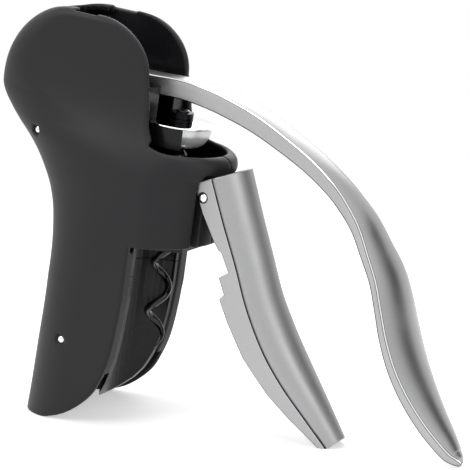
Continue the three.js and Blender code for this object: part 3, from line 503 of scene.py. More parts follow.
def pin_place(node):
    """Where a cross pin sits, seen from the side, from its solid's box."""
    low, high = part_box(node)
    x = ((low[0] + high[0]) / 2 - AXIS_FOOT_X) / MM
    z = (low[2] + high[2]) / 2 / MM
    return x * LEAN_COS - z * LEAN_SIN, x * LEAN_SIN + z * LEAN_COS


FIT, RUNNING_FIT = 0.3, 0.08
NECK_RADIUS, LINER_WALL, PLATE_THICK = 15.7, 2.1, 3.4
LINER_OUT, PLATE_TOP = NECK_RADIUS + LINER_WALL, HEM_Z + PLATE_THICK
SLOT_REAR_X, SLOT_FRONT_X = -53.9, CHEEK_FOOT_X + CHEEK_FILLET
SLOT_DROP, ARM_SLOT_HALF = 6.0, 9.5
SLOT_FLOOR = RIM_Z - SLOT_DROP
RIM_STEP = 1.1
WEB_LOW = 116.9  # the foot of the web that closes the slot at the rear
SCOOP_TAPER, SCOOP_FILLET, INNER_ROUND = 1.1, 1.2, 0.6


def hollow_field(x, y, z):
    """The space inside the body, with the openings that lead into it."""
    inner = true_scale(body_form(WALL, FRONT_WALL), x, y, z)
    lip = plane_box(x, y, z, (LEG_X - 2 * WALL, -FAR, -FAR), (FAR, FAR, HEM_Z - WALL))
    web = plane_box(x, y, z, (SLOT_REAR_X - WALL, -FAR, WEB_LOW), (SLOT_REAR_X, FAR, HIGH))
    inner = round_max(round_max(inner, -lip, INNER_ROUND), -web, INNER_ROUND)
    reach = np.hypot(x, y)
    bowl = np.maximum(reach - LINER_OUT - FIT, z - PLATE_TOP - FIT)
    bowl = np.maximum(bowl, np.where(z > HEM_Z, x - FRONT + FRONT_WALL, -DEEP))
    over_rim = np.maximum(z - RIM_Z - CHEEK_RISE, 0)
    scoop = reach - (HALF_WIDTH - FRONT_WALL + FIT) + SCOOP_TAPER * over_rim
    scoop = np.maximum(scoop, SLOT_FLOOR - z)
    half = CHEEK_HALF - WALL
    wide = half + RIM_STEP
    # The wide slot, the narrow one behind it, and the step round its mouth
    slots = [plane_box(x, y, z, *box) for box in (
        ((HEAD_X, -half, SLOT_FLOOR), (SLOT_FRONT_X, half, HIGH)),
        ((SLOT_REAR_X, -ARM_SLOT_HALF, SLOT_FLOOR), (0, ARM_SLOT_HALF, HIGH)),
        ((HEAD_X, -wide, BODY_TOP - RIM_STEP), (HEAD_CORNER_X, wide, HIGH)),
    )]
    slots = np.minimum(np.minimum(slots[0], slots[1]), slots[2])
    return np.minimum(np.minimum(inner, bowl), round_min(scoop, slots, SCOOP_FILLET))


print("the wide slot is", 2 * (CHEEK_HALF - WALL), "mm across")

# %% The body's left half
GRIP_PIN = pin_place("grip_pin")
GRIP_PIN_RADIUS, NOSE_RADIUS, NOSE_HALF = 1.85, 4.6, 8.0
POCKET_X, POCKET_HALF, POCKET_TOP, POCKET_ROUND = 14.2, 11.3, 101.6, 0.4
POCKET_FOOT = HEM_Z - 2  # just under the hem
BODY_PINS = [pin_place("upper_cross_pin"), pin_place("lower_cross_pin")]
PIN_RADIUS, PIN_RING, PIN_RING_DEPTH, PIN_ROUND = 1.55, 2.2, 0.7, 0.15
BOSS_RADIUS, BOSS_INNER = 3.55, 4.3
EDGE_ROUND, HOLLOW_ROUND, FOOT_ROUND, BORE_ROUND, SEAM_ROUND = 0.8, 0.5, 0.5, 0.2, 0.08
RIM_ROUND, RIM_HOLLOW_ROUND = 2.2, 1.6  # the more that the collar's rim is rounded by
RIM_ZONE_X, RIM_ZONE_Z = (-6, -1), (98, 104)


def share_of(value, span):
    """How far into a span a value is, from 0 to 1."""
    return np.clip((value - span[0]) / (span[1] - span[0]), 0, 1)


def shell_field(x, y, z):
    """The left half: the trimmed form less the hollow, with its pins, the nose and its pocket."""
    form = true_scale(body_form(0, 0), x, y, z)
    near_rim = share_of(x, RIM_ZONE_X) * share_of(z, RIM_ZONE_Z)
    outer = round_max(form, side_cut(x, z), EDGE_ROUND + RIM_ROUND * near_rim)
    floor = x * LEAN_SIN - z * LEAN_COS
    outer = round_max(outer, floor, FOOT_ROUND)
    shell = round_max(outer, -hollow_field(x, y, z), HOLLOW_ROUND + RIM_HOLLOW_ROUND * near_rim)
    for px, pz in BODY_PINS:
        from_pin = np.hypot(x - px, z - pz)
        boss = np.maximum(np.maximum(from_pin - BOSS_RADIUS, BOSS_INNER - y), outer)
        shell = np.minimum(shell, boss)
        ring = np.maximum(from_pin - PIN_RING, -PIN_RING_DEPTH - outer)
        bore = from_pin - PIN_RADIUS - RUNNING_FIT
        shell = round_max(shell, -np.minimum(bore, ring), PIN_ROUND)
    nose = np.hypot(np.maximum(x - GRIP_PIN[0], 0), z - GRIP_PIN[1]) - NOSE_RADIUS
    nose = np.maximum(np.maximum(nose, POCKET_X - WALL - x), y - NOSE_HALF)
    pocket = plane_box(x, y, z, (POCKET_X, NOSE_HALF, POCKET_FOOT), (FAR, POCKET_HALF, POCKET_TOP))
    shell = np.minimum(round_max(shell, -pocket, POCKET_ROUND), nose)
    bore = np.hypot(x - GRIP_PIN[0], z - GRIP_PIN[1]) - GRIP_PIN_RADIUS - RUNNING_FIT
    return round_max(round_max(shell, -bore, BORE_ROUND), SEAM - y, SEAM_ROUND)


print("pins at", [[round(float(v), 1) for v in place] for place in BODY_PINS + [GRIP_PIN]])

# %% The two shells
BODY_LOW, BODY_HIGH, BODY_CELL = (-80, 0, -16), (26, 24, 153), 0.6
INSIDE_DEPTH, HOLLOW_NEAR = 1.0, 0.6  # a face this deep and this near the hollow is an inner one


def body_half(name, side):
    """One half of the body. The right one is the left one's mirror image."""
    points, faces = surface_net(shell_field, BODY_LOW, BODY_HIGH, BODY_CELL)
    points = settle(shell_field, points, BODY_CELL / 2)
    middle = points[faces].mean(axis=1)
    outer = true_scale(body_form(0, 0), *middle.T)
    trimmed = np.maximum(outer, side_cut(middle[:, 0], middle[:, 2]))
    inside = (trimmed < -INSIDE_DEPTH) & (hollow_field(*middle.T) < HOLLOW_NEAR)
    if side < 0:
        points, faces = points * [1, -1, 1], faces[:, ::-1]
    made = make_object(name, points, faces, soft_touch)
    # The inner faces take the moulded black; its extra darkness over the skin is painted shade.
    made.data.materials.append(inner_black)
    made.data.polygons.foreach_set("material_index", inside.astype(np.int32))
    return made


shells = {
    "left_body_shell": body_half("left_body_moulding", 1),
    "right_body_shell": body_half("right_body_moulding", -1),
}
for node, shell in shells.items():
    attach(shell, "body")
    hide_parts(node)
    print(shell.name, len(shell.data.polygons), "faces")

# %% [markdown]
# The lever is one casting: a slim arm that widens into a spoon-shaped paddle. It is lofted: a
# cross-section slides along the underside's path, and a table gives its half width, the height
# of its sides and the crown of its top. The corners between the side and the top are a narrow
# polished bevel, so the section has its own few points there and the faces get a bright finish.

# %% Loft helpers
CORE = 0.02  # the radius that the flat ends of a turned piece start at
MERGE_M = 1e-7


def placed(shares, start, reach, drop):
    """A path's [x, z] points from its shares of a reach forward and a drop."""
    return start + np.array([row[:2] for row in shares]) * [reach, -drop]


def path_run(path):
    """How far along a path each of its points is."""
    return np.concatenate([[0], np.cumsum(np.linalg.norm(np.diff(path, axis=0), axis=1))])


def read_along(run, at, columns):
    """Reads columns at places along a path. The first two are x and z, which give normals too."""
    read = [curve_through(list(zip(run, column)))(at) for column in columns]
    line = np.stack(read[:2], axis=1)
    ahead = np.gradient(line, axis=0)
    ahead /= np.linalg.norm(ahead, axis=1)[:, None]
    return line, np.stack([-ahead[:, 1], ahead[:, 0]], axis=1), read[2:]


def stand(section, place, normal):
    """A ring of a loft: a section's [y, outward] points, stood on its path."""
    return [(place[0] + normal[0] * n, y, place[1] + normal[1] * n) for y, n in section]


def loft(rings):
    """Faces of a closed loft through rings of equal point count, capped at both ends."""
    count = len(rings[0])
    faces = []
    for i in range(len(rings) - 1):
        for j in range(count):
            k = (j + 1) % count
            faces.append([i * count + j, i * count + k, (i + 1) * count + k, (i + 1) * count + j])
    last = (len(rings) - 1) * count
    faces.append(list(range(count))[::-1])
    faces.append([last + j for j in range(count)])
    return faces


def outward(obj):
    """Merges doubles and turns every face outwards."""
    made = bmesh.new()
    made.from_mesh(obj.data)
    bmesh.ops.remove_doubles(made, verts=made.verts, dist=MERGE_M)
    bmesh.ops.recalc_face_normals(made, faces=made.faces)
    made.to_mesh(obj.data)
    made.free()


def crisp(obj, degrees):
    """Keeps edges sharper than this angle crisp, and the rest smooth."""
    obj.data.set_sharp_from_angle(angle=math.radians(degrees))


def turned(name, profile, place, material, steps=64, across=False):
    """A turned piece from [radius, height] points, about the leaned axis or one across the tool."""
    turn = np.linspace(0, 2 * math.pi, steps, endpoint=False)
    rings = []
    for radius, height in profile:
        u, v = place[0] + radius * np.cos(turn), place[1] + radius * np.sin(turn)
        level = np.full(steps, height)
        rings.append(np.stack((u, level, v) if across else (u, v, level), axis=1))
    made = make_object(name, np.concatenate(rings), loft(rings), material)
    outward(made)
    return made


def box_piece(name, low, high):
    """A block between two corners, for cuts and joins."""
    faces = [(0, 1, 3, 2), (4, 6, 7, 5), (0, 4, 5, 1), (2, 3, 7, 6), (0, 2, 6, 4), (1, 5, 7, 3)]
    made = make_object(name, list(product(*zip(low, high))), faces, inner_black)
    outward(made)
    return made


def combine(obj, other, operation):
    """A boolean of two closed meshes. The second object is used up."""
    step = obj.modifiers.new("combine", "BOOLEAN")
    step.object, step.operation, step.solver = other, operation, "EXACT"
    obj.data = evaluated_mesh(obj)
    obj.modifiers.clear()
    bpy.data.objects.remove(other)


def evaluated_mesh(obj):
    """The plain mesh that an object's modifiers give."""
    bpy.context.view_layer.update()
    evaluated = obj.evaluated_get(bpy.context.evaluated_depsgraph_get())
    return bpy.data.meshes.new_from_object(evaluated)


def rest_on_floor(obj):
    """Flattens what would dip under the floor, as wear does on a tip."""
    for point in obj.data.vertices:
        point.co.z = max(point.co.z, 0.0)


# The last slot, near-black steel, is painted shade on a casting's lower and rear edges and grooves.
BLASTED, BRIGHT, SHADE_STRIP = 1, 2, 3  # the material slots that a casting has beside its satin one


def casting(name, rings, satin, strips, last):
    """A loft with a finish for each strip. The strips of one side are repeated from the last."""
    made = make_object(name, np.array(rings).reshape(-1, 3), loft(rings), satin)
    # The near-black steel slot is painted shade on the edge and groove strips.
    for extra in (blasted_cast, bright_edge, dark_steel):
        made.data.materials.append(extra)
    slots = {**dict(enumerate(strips)), **{last - j: slot for j, slot in enumerate(strips)}}
    for index, face in enumerate(made.data.polygons):
        face.material_index = slots.get(index % len(rings[0]), 0)
    return made


# %% The lever's section and path
PIVOT = (-40.0, 122.0)
HUB_PROFILE = [(0, -5), (9.7, -5), (10.3, -4.4), (10.3, 4.4), (9.7, 5), (0, 5)]
LEVER_REACH, LEVER_DROP = 169.6, 101.2
LEVER_HALF, LEVER_SIDE, LEVER_BEVEL, LEVER_BEVEL_RISE = 6.3, 6.2, 0.6, 0.5
LEVER_CROWN, PADDLE_CROWN = 0.4, 3.5
LOW_CORNER, LOW_CUT, TOP_CORNER, CROWN_LIFT, CROWN_POINTS = 0.5, 0.3, 0.22, 0.02, 15
FLANK_SHARES = (0.35, 0.65, 1)
BEVEL_FOOT, BEVEL_HEAD = (0.05, 0.2), (0.1, 0.05)  # [in, up] and [out, down] from its corners
LEVER_RINGS, LEVER_CROWDING = 220, 1.25  # over 1, the rings crowd towards the paddle's tip
# Painted shade: the lower corner and the narrow steps either side of the bevel take near-black
# steel.
LEVER_STRIPS = (SHADE_STRIP, SHADE_STRIP, BLASTED, BLASTED, BLASTED, SHADE_STRIP, BRIGHT, BRIGHT, SHADE_STRIP)
lever_shares = [
    [0, -0.033, 0.8, 1, 0], [0.1, -0.032, 0.8, 1, 0], [0.165, -0.032, 0.8, 1.02, 0],
    [0.212, -0.034, 0.8, 1.06, 0], [0.25, -0.034, 0.81, 1.06, 0], [0.3, -0.028, 0.93, 1.04, 0],
    [0.347, -0.016, 1, 1.02, 0], [0.425, 0.016, 1, 0.95, 0],
    [0.501, 0.063, 1, 0.86, 0], [0.565, 0.11, 1.02, 0.78, 0], [0.612, 0.153, 1.09, 0.7, 0.15],
    [0.647, 0.192, 1.2, 0.62, 0.32], [0.695, 0.26, 1.49, 0.5, 0.58], [0.732, 0.34, 1.81, 0.42, 0.8],
    [0.764, 0.414, 2.1, 0.37, 0.94], [0.787, 0.495, 2.31, 0.35, 1], [0.811, 0.599, 2.37, 0.39, 1],
    [0.84, 0.703, 2.25, 0.43, 1], [0.875, 0.797, 1.98, 0.47, 0.92], [0.915, 0.882, 1.6, 0.5, 0.75],
    [0.949, 0.941, 1.23, 0.5, 0.55], [0.975, 0.98, 0.85, 0.45, 0.3],
    [0.991, 0.994, 0.5, 0.37, 0.12], [1, 1, 0.2, 0.22, 0],
]


def lever_section(half, flank, rise):
    """Up one side, over the bevel, whose corners are softened, and across the crown."""
    bevel = min(LEVER_BEVEL, half / 3)
    top = flank + LEVER_BEVEL_RISE * bevel / LEVER_BEVEL
    low = min(LOW_CORNER, flank / 3)
    right = [(half - low, 0.0), (half - LOW_CUT * low, LOW_CUT * low), (half, low)]
    right += [(half, flank * share) for share in FLANK_SHARES]
    right += [(half - BEVEL_FOOT[0], flank + BEVEL_FOOT[1]),
              (half - bevel + BEVEL_HEAD[0], top - BEVEL_HEAD[1]), (half - bevel, top)]
    inner = half - bevel - min(TOP_CORNER, (half - bevel) / 4)
    top += CROWN_LIFT
    right.append((inner, top))
    shares = np.sin(np.linspace(0.5 * np.pi, 0, CROWN_POINTS)[1:])
    right += [(inner * s, top + rise * (1 - s * s)) for s in shares]
    return right + [(-y, n) for y, n in right[-2::-1]]


def lever_rings():
    path = placed(lever_shares, PIVOT, LEVER_REACH, LEVER_DROP)
    run = path_run(path)
    at = run[-1] * (1 - (1 - np.linspace(0, 1, LEVER_RINGS)) ** LEVER_CROWDING)
    columns = (*path.T, *np.array(lever_shares)[:, 2:].T)
    line, normal, (width, side, crown) = read_along(run, at, columns)
    return [
        stand(lever_section(LEVER_HALF * width[i], LEVER_SIDE * side[i],
                            LEVER_CROWN + PADDLE_CROWN * crown[i]), line[i], normal[i])
        for i in range(LEVER_RINGS)
    ]


print("the lever is", LEVER_REACH, "mm forward and", LEVER_DROP, "mm down from pivot to tip")

# %% The lever
rings = lever_rings()
lever = casting("cast_lever", rings, satin_cast, LEVER_STRIPS, len(rings[0]) - 2)
combine(lever, turned("lever_hub", HUB_PROFILE, PIVOT, satin_cast, across=True), "UNION")
rest_on_floor(lever)
crisp(lever, 32)
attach(lever, "lever")
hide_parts("lever")
print("lever", len(lever.data.polygons), "faces")

# %% [markdown]
# The clamp grip is a second casting, a channel: two flat flanges and a round satin front. It is
# lofted down the crease between them. The flanges' rear edge has its steps from its own outline:
# each ring of the loft reaches back to that edge. A shallow groove sets the front off from the
# sandblasted flanges, as it does on the real casting.

# %% The grip's section and path
GRIP_TOP = (21.3, 101.0)
GRIP_REACH, GRIP_DROP = 59.4, 88.3
GRIP_HALF, GRIP_WALL, GRIP_CORNER = 10.7, 2.1, 3.2
FRONT_INSET, FRONT_START = 0.35, 0.045  # the start is in half turns
# A flange's rear edge and the groove at the crease: [in, forward] and [in, back] from the corner
REAR_EDGE, GROOVE_EDGE = ((0.55, 0), (0.2, 0.08), (0, 0.4)), ((0, 0.3), (0.2, 0.08), (0.75, 0))
INNER_CHAMFER = 0.25
GRIP_RINGS, FRONT_POINTS, INNER_POINTS = 300, 20, 12
GRIP_BORE, BORE_HALF = 2.15, 30
# Painted shade: the flanges' softened rear edge and the groove at the crease take near-black steel.
GRIP_STRIPS = (SHADE_STRIP, SHADE_STRIP, BLASTED, BLASTED, BLASTED, SHADE_STRIP)
END, END_STEPS, END_SHRINK = 0.5, np.array([0, 0.12, 0.3]), (0.35, 0.12, 0.03)
grip_shares = [
    [0, 0, 1], [0.12, 0.172, 0.98], [0.239, 0.332, 0.95], [0.347, 0.485, 0.95],
    [0.446, 0.595, 0.96], [0.545, 0.687, 0.95], [0.677, 0.787, 0.88],
    [0.833, 0.89, 0.73], [1, 1, 0.55],
]
grip_rear_shares = [
    [-0.14, -0.009], [-0.103, 0.059], [-0.084, 0.079], [-0.029, 0.153], [0.071, 0.254],
    [0.116, 0.291], [0.134, 0.294], [0.202, 0.371], [0.141, 0.401], [0.194, 0.469],
    [0.165, 0.492], [0.243, 0.579], [0.385, 0.709], [0.579, 0.832], [0.744, 0.915],
    [0.922, 0.992], [1.09, 1.082],
]


def reach_back(place, normal, outline):
    """How far a line from the crease runs backwards until it meets the rear edge."""
    start, end = outline[:-1], outline[1:]
    edge = end - start
    away = -normal
    cross = away[0] * edge[:, 1] - away[1] * edge[:, 0]
    offset = start - place
    along = (offset[:, 0] * edge[:, 1] - offset[:, 1] * edge[:, 0]) / cross
    part = (offset[:, 0] * away[1] - offset[:, 1] * away[0]) / cross
    met = along[(part >= 0) & (part <= 1) & (along > 0)]
    return met.min() if len(met) else 2 * GRIP_WALL


def arc(radius, start, end, count):
    """Points of an arc, from half turns."""
    return [(radius * math.cos(t), radius * math.sin(t))
            for t in np.linspace(start, end, count) * math.pi]


def grip_section(half, inner, depth):
    """Along a flange with softened edges, over the groove and round the front, and back inside."""
    out = [(half - inward, forward - depth) for inward, forward in REAR_EDGE]
    out += [(half, -0.5 * depth)] + [(half - inward, -behind) for inward, behind in GROOVE_EDGE]
    out += arc(half - FRONT_INSET, FRONT_START, 0.5, FRONT_POINTS)
    back = arc(inner, 0.5, 0, INNER_POINTS)
    back += [(inner, -0.5 * depth), (inner, INNER_CHAMFER - depth), (inner + INNER_CHAMFER, -depth)]
    section = out + [(-y, n) for y, n in out[-2::-1]]
    return section + [(-y, n) for y, n in back[::-1]] + back[1:], 2 * len(out) - 2


def grip_piece():
    path, outline = (placed(shares, GRIP_TOP, GRIP_REACH, GRIP_DROP)
                     for shares in (grip_shares, grip_rear_shares))
    run = path_run(path)
    at = np.concatenate([END_STEPS, np.linspace(END, run[-1] - END, GRIP_RINGS),
                         run[-1] - END_STEPS[::-1]])
    shrink = np.zeros(len(at))
    shrink[:3], shrink[-3:] = END_SHRINK, END_SHRINK[::-1]
    line, normal, (width,) = read_along(run, at, (*path.T, [row[2] for row in grip_shares]))
    rings = []
    for i in range(len(at)):
        half = GRIP_HALF * width[i] - shrink[i]
        depth = reach_back(line[i], normal[i], outline) - shrink[i]
        if at[i] < GRIP_CORNER:
            depth -= GRIP_CORNER - math.sqrt(GRIP_CORNER ** 2 - (GRIP_CORNER - at[i]) ** 2)
        section, outer_strips = grip_section(half, half - GRIP_WALL + 2 * shrink[i], depth)
        rings.append(stand(section, line[i], normal[i]))
    made = casting("cast_grip", rings, satin_grip, GRIP_STRIPS, outer_strips - 1)
    outward(made)
    bore = [(0, -BORE_HALF), (GRIP_BORE, -BORE_HALF), (GRIP_BORE, BORE_HALF), (0, BORE_HALF)]
    bore = turned("bore", bore, GRIP_PIN, inner_black, 40, across=True)
    combine(made, bore, "DIFFERENCE")
    rest_on_floor(made)
    crisp(made, 30)
    return made


print("the grip is", GRIP_REACH, "mm forward and", GRIP_DROP, "mm down from top to tip")

# %% The grip
grip = grip_piece()
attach(grip, "grip")
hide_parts("grip")
print("grip", len(grip.data.polygons), "faces")

# %% [markdown]
# Three polished pins cross the tool. Each end is a low dome in a small dark ring, the shadow gap
# round the pin. A pin is turned: one profile from end to end.

# %% The cross pins
PIN_SIZES = {  # radius, the dome's height, and how far it stands proud
    "upper_cross_pin": (1.5, 0.7, 0.6),
    "lower_cross_pin": (1.5, 0.7, 0.3),
    "grip_pin": (1.8, 1.4, 0.3),
}
DOME_STEPS, PIN_FACETS = 9, 40


def domed_pin(node, radius, dome, proud):
    low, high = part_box(node)
    half = (high[1] - low[1]) / 2 / MM + proud
    steps = np.linspace(0, 0.5, DOME_STEPS)[1:] * math.pi
    cap = [(CORE, half)]
    cap += [(radius * math.sin(t), half - dome * (1 - math.cos(t))) for t in steps]
    profile = [(r, -y) for r, y in cap] + cap[::-1]
    pin = turned(node + "_domed", profile, pin_place(node), chrome, PIN_FACETS, across=True)
    crisp(pin, 40)
    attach(pin, "body")
    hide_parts(node)
    return pin


pins = [domed_pin(node, *sizes) for node, sizes in PIN_SIZES.items()]
print(len(pins), "pins")

# %% [markdown]
# The worm is a right-handed helix of round wire, so Geometry Nodes draw it from its numbers: a
# spiral curve, a round section swept along it, and a radius that shrinks over the first half turn
# to make the point. The tree ends in Realize Instances and Set Material, and the result is kept
# as a plain mesh. The spiral node winds to the left, so the points are mirrored afterwards.

# %% The worm's numbers
HUB_BOTTOM_Z, WORM_ROOT = 107.7, 4.95
WORM_TIP_Z, WORM_TOP_Z = 28.0, HUB_BOTTOM_Z - WORM_ROOT
WORM_PITCH = 19.3
WORM_FACE_Z, WORM_FACE_DEG = 32.6, 29  # a height where the wire faces the camera, and its side
SHANK_RADIUS, SHANK_TOP_Z = 2.4, 120.9
WORM_TURNS = (WORM_TOP_Z - WORM_TIP_Z) / WORM_PITCH
WORM_SIZES = {
    "Turns": WORM_TURNS, "Pitch": WORM_PITCH, "Coil Radius": 3.45, "Wire Radius": 1.35,
    "Taper Turns": 0.5, "Point Share": 0.12,
}
STEPS_A_TURN, WIRE_FACETS = 64, 28
# The collar at the worm's root: [radius, height over the worm's top]
ROOT = [(CORE, -1.2), (2.4, -0.9), (3.9, 0), (4.2, 0.9), (3.9, 1.8), (SHANK_RADIUS, 3.2)]


def worm_tree():
    tree = bpy.data.node_groups.new("worm_wire", "GeometryNodeTree")
    face = tree.interface
    face.new_socket("Geometry", in_out="INPUT", socket_type="NodeSocketGeometry")
    for name in WORM_SIZES:
        face.new_socket(name, in_out="INPUT", socket_type="NodeSocketFloat")
    face.new_socket("Finish", in_out="INPUT", socket_type="NodeSocketMaterial")
    face.new_socket("Geometry", in_out="OUTPUT", socket_type="NodeSocketGeometry")

    def node(kind, inputs=None, **settings):
        """A new node's first output."""
        return add(tree, kind, inputs, **settings).outputs[0]

    def maths(operation, a, b):
        return node("ShaderNodeMath", {0: a, 1: b}, operation=operation)

    given = tree.nodes.new("NodeGroupInput").outputs
    turns, coil = given["Turns"], given["Coil Radius"]
    spiral = node("GeometryNodeCurveSpiral", {
        "Resolution": STEPS_A_TURN, "Rotations": turns, "Start Radius": coil, "End Radius": coil,
        "Height": maths("MULTIPLY", turns, given["Pitch"]),
    })
    taper = node("ShaderNodeMapRange", {
        "Value": node("GeometryNodeSplineParameter"), "To Min": given["Point Share"],
        "From Max": maths("DIVIDE", given["Taper Turns"], turns),
    }, interpolation_type="SMOOTHSTEP")
    thinned = node("GeometryNodeSetCurveRadius", {
        "Curve": spiral, "Radius": maths("MULTIPLY", taper, given["Wire Radius"]),
    })
    section = node("GeometryNodeCurvePrimitiveCircle", {"Resolution": WIRE_FACETS, "Radius": 1.0})
    sweep = add(tree, "GeometryNodeCurveToMesh",
                {"Curve": thinned, "Profile Curve": section, "Fill Caps": True})
    if "Scale" in sweep.inputs:  # where the sweep doesn't take the curve's radius by itself
        fill(tree, sweep, {"Scale": node("GeometryNodeInputRadius")})
    realized = node("GeometryNodeRealizeInstances", {"Geometry": sweep.outputs["Mesh"]})
    dressed = {"Geometry": realized, "Material": given["Finish"]}
    add(tree, "NodeGroupOutput", {"Geometry": node("GeometryNodeSetMaterial", dressed)})
    return tree


def bake_tree(name, tree, values):
    """Runs a tree with its named inputs and returns the plain mesh."""
    holder = bpy.data.objects.new(name, bpy.data.meshes.new(name))
    scene.collection.objects.link(holder)
    modifier = holder.modifiers.new("nodes", "NODES")
    modifier.node_group = tree
    for item in tree.interface.items_tree:
        if item.item_type == "SOCKET" and item.in_out == "INPUT" and item.name in values:
            modifier[item.identifier] = values[item.name]
    mesh = evaluated_mesh(holder)
    bpy.data.objects.remove(holder)
    return mesh


print("the worm has", round(WORM_TURNS, 2), "turns")

# %% The worm


def worm_piece():
    mesh = bake_tree("worm_wire", worm_tree(), {**WORM_SIZES, "Finish": worm_coat})
    points = np.zeros(3 * len(mesh.vertices))
    mesh.vertices.foreach_get("co", points)
    points = points.reshape(-1, 3)
    start = math.radians(WORM_FACE_DEG) - 2 * math.pi * (WORM_FACE_Z - WORM_TIP_Z) / WORM_PITCH
    turn = np.array([[math.cos(start), -math.sin(start), 0],
                     [math.sin(start), math.cos(start), 0], [0, 0, 1]])
    points = (points * [1, -1, 1]) @ turn.T + [0, 0, WORM_TIP_Z]
    faces = [list(face.vertices) for face in mesh.polygons]
    wire = make_object("coated_worm", points, faces, worm_coat)
    outward(wire)
    root = [(radius, WORM_TOP_Z + rise) for radius, rise in ROOT]
    root += [(SHANK_RADIUS, SHANK_TOP_Z), (CORE, SHANK_TOP_Z)]
    combine(wire, turned("root", root, (0, 0), worm_coat), "UNION")
    crisp(wire, 40)
    return wire


worm = worm_piece()
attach(worm, "worm")
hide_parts("worm")
print("worm", len(worm.data.polygons), "faces")

# %% [markdown]
# Above the nut sits the worm's carrier. From outside one sees its chromed plate, edge on, and the
# bell under it, whose pale, mostly diffuse finish is a painted reflection of the white
# surroundings. Both are turned, and are then cut where the two racks pass. A black guard stands
# round the bell's rear and near side.

# %% The carrier
PLATE_LOW, PLATE_HIGH, BELL_TOP = 115.85, 116.55, 114.4
PLATE_RADIUS, BELL_RADIUS, HUB_RADIUS = 13.2, 11.5, 5.4
LUG_REAR_X, LUG_HALF, PLATE_REAR_X = -11.63, 5.0, -7.33
CUT_FAR, CUT_LOW, CUT_HIGH = 40, 90, 130
HUB_CHAMFER, BELL_START = 0.3, 0.02  # the start is in half turns
RIM_STEPS, BELL_STEPS, FACETS, BORE_FACETS = 9, 24, 96, 48
GUARD_FROM, GUARD_TO, GUARD_RINGS = 196, 304, 60  # degrees round the axis
GUARD_SECTION = [
    (12.0, 107.9), (12.4, 108.2), (12.5, 115.6), (12.1, 115.75), (11.8, 115.6), (11.7, 108.2),
]


def cut_carrier(made):
    """Cuts a turned piece flat on both sides where the racks pass, and bores it for the shank."""
    for side in (-1, 1):
        near, far = sorted((side * LUG_HALF, side * CUT_FAR))
        cut = box_piece("cut", (-CUT_FAR, near, CUT_LOW), (PLATE_REAR_X, far, CUT_HIGH))
        combine(made, cut, "DIFFERENCE")
    radius = SHANK_RADIUS + RUNNING_FIT
    bore = [(0, CUT_LOW), (radius, CUT_LOW), (radius, CUT_HIGH), (0, CUT_HIGH)]
    combine(made, turned("bore", bore, (0, 0), inner_black, BORE_FACETS), "DIFFERENCE")
    crisp(made, 35)
    return made


def plate_piece():
    """The plate: a polished disc with a rounded rim."""
    middle, half = (PLATE_LOW + PLATE_HIGH) / 2, (PLATE_HIGH - PLATE_LOW) / 2
    rim = [(PLATE_RADIUS - half + half * math.cos(t), middle + half * math.sin(t))
           for t in np.linspace(-0.5, 0.5, RIM_STEPS) * math.pi]
    profile = [(CORE, PLATE_LOW)] + rim + [(CORE, PLATE_HIGH)]
    return cut_carrier(turned("carrier_plate", profile, (0, 0), chrome, FACETS))


def bell_piece():
    """The bell under the plate, with the lug that the racks are riveted to."""
    bell = [(CORE, HUB_BOTTOM_Z), (HUB_RADIUS - HUB_CHAMFER, HUB_BOTTOM_Z)]
    bell += [(HUB_RADIUS + (BELL_RADIUS - HUB_RADIUS) * math.sin(t),
              BELL_TOP - (BELL_TOP - HUB_BOTTOM_Z) * math.cos(t))
             for t in np.linspace(BELL_START, 0.5, BELL_STEPS) * math.pi]
    bell += [(BELL_RADIUS, PLATE_LOW), (CORE, PLATE_LOW)]
    # The bell's pale finish is a painted reflection of the white surroundings.
    made = turned("carrier_bell", bell, (0, 0), bell_painted_reflection, FACETS)
    lug = box_piece("lug", (LUG_REAR_X, -LUG_HALF, HUB_BOTTOM_Z), (0, LUG_HALF, PLATE_LOW))
    combine(made, lug, "UNION")
    return cut_carrier(made)


def guard_piece():
    """The black guard: an upright section swept part of the way round the axis."""
    rings = [[(r * math.cos(t), r * math.sin(t), z) for r, z in GUARD_SECTION]
             for t in np.radians(np.linspace(GUARD_FROM, GUARD_TO, GUARD_RINGS))]
    made = make_object("carrier_guard", np.array(rings).reshape(-1, 3), loft(rings), inner_black)
    outward(made)
    crisp(made, 35)
    return made


carrier = [plate_piece(), bell_piece(), guard_piece()]
for piece in carrier:
    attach(piece, "carrier")
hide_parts("worm_carrier")
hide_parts("worm_carrier")
print("carrier", [len(piece.data.polygons) for piece in carrier], "faces")

# %% [markdown]
# The solid nodes that show as they are, such as the racks and the neck liner, keep their own
# meshes and take a finish. The rims of two of them are seen, so their edges are softened.

# %% Finishes of the solid nodes
# Painted shade: the steel parts inside the body and the liner's moulded black are darkened further.
NODE_FINISHES = {
    "chrome": chrome, "dark_steel": dark_steel, "brass": brass, "inner_black": inner_black,
    "cast_metal": satin_cast, "soft_black": soft_touch, "worm_coat": worm_coat,
}
SOFT_EDGE_MM, SOFT_STEPS, SOFT_ANGLE = 0.5, 3, 50
slot_of = {part["node"]: part["material_slot"] for part in frame["record"]["subparts"]}
for name, node in frame["nodes"].items():
    node.data.materials.clear()
    node.data.materials.append(NODE_FINISHES[slot_of[name]])
for name in ("neck_liner", "nut_plate"):
    soften = frame["nodes"][name].modifiers.new("soft_edges", "BEVEL")
    soften.width, soften.segments = SOFT_EDGE_MM * MM, SOFT_STEPS
    soften.limit_method, soften.angle_limit = "ANGLE", math.radians(SOFT_ANGLE)
print(len(frame["nodes"]), "nodes have a finish")

# %% [markdown]
# The photograph was taken from the front right and a little above, with a long lens. The camera's
# place, turn and focal length were solved from measured points of the tool.

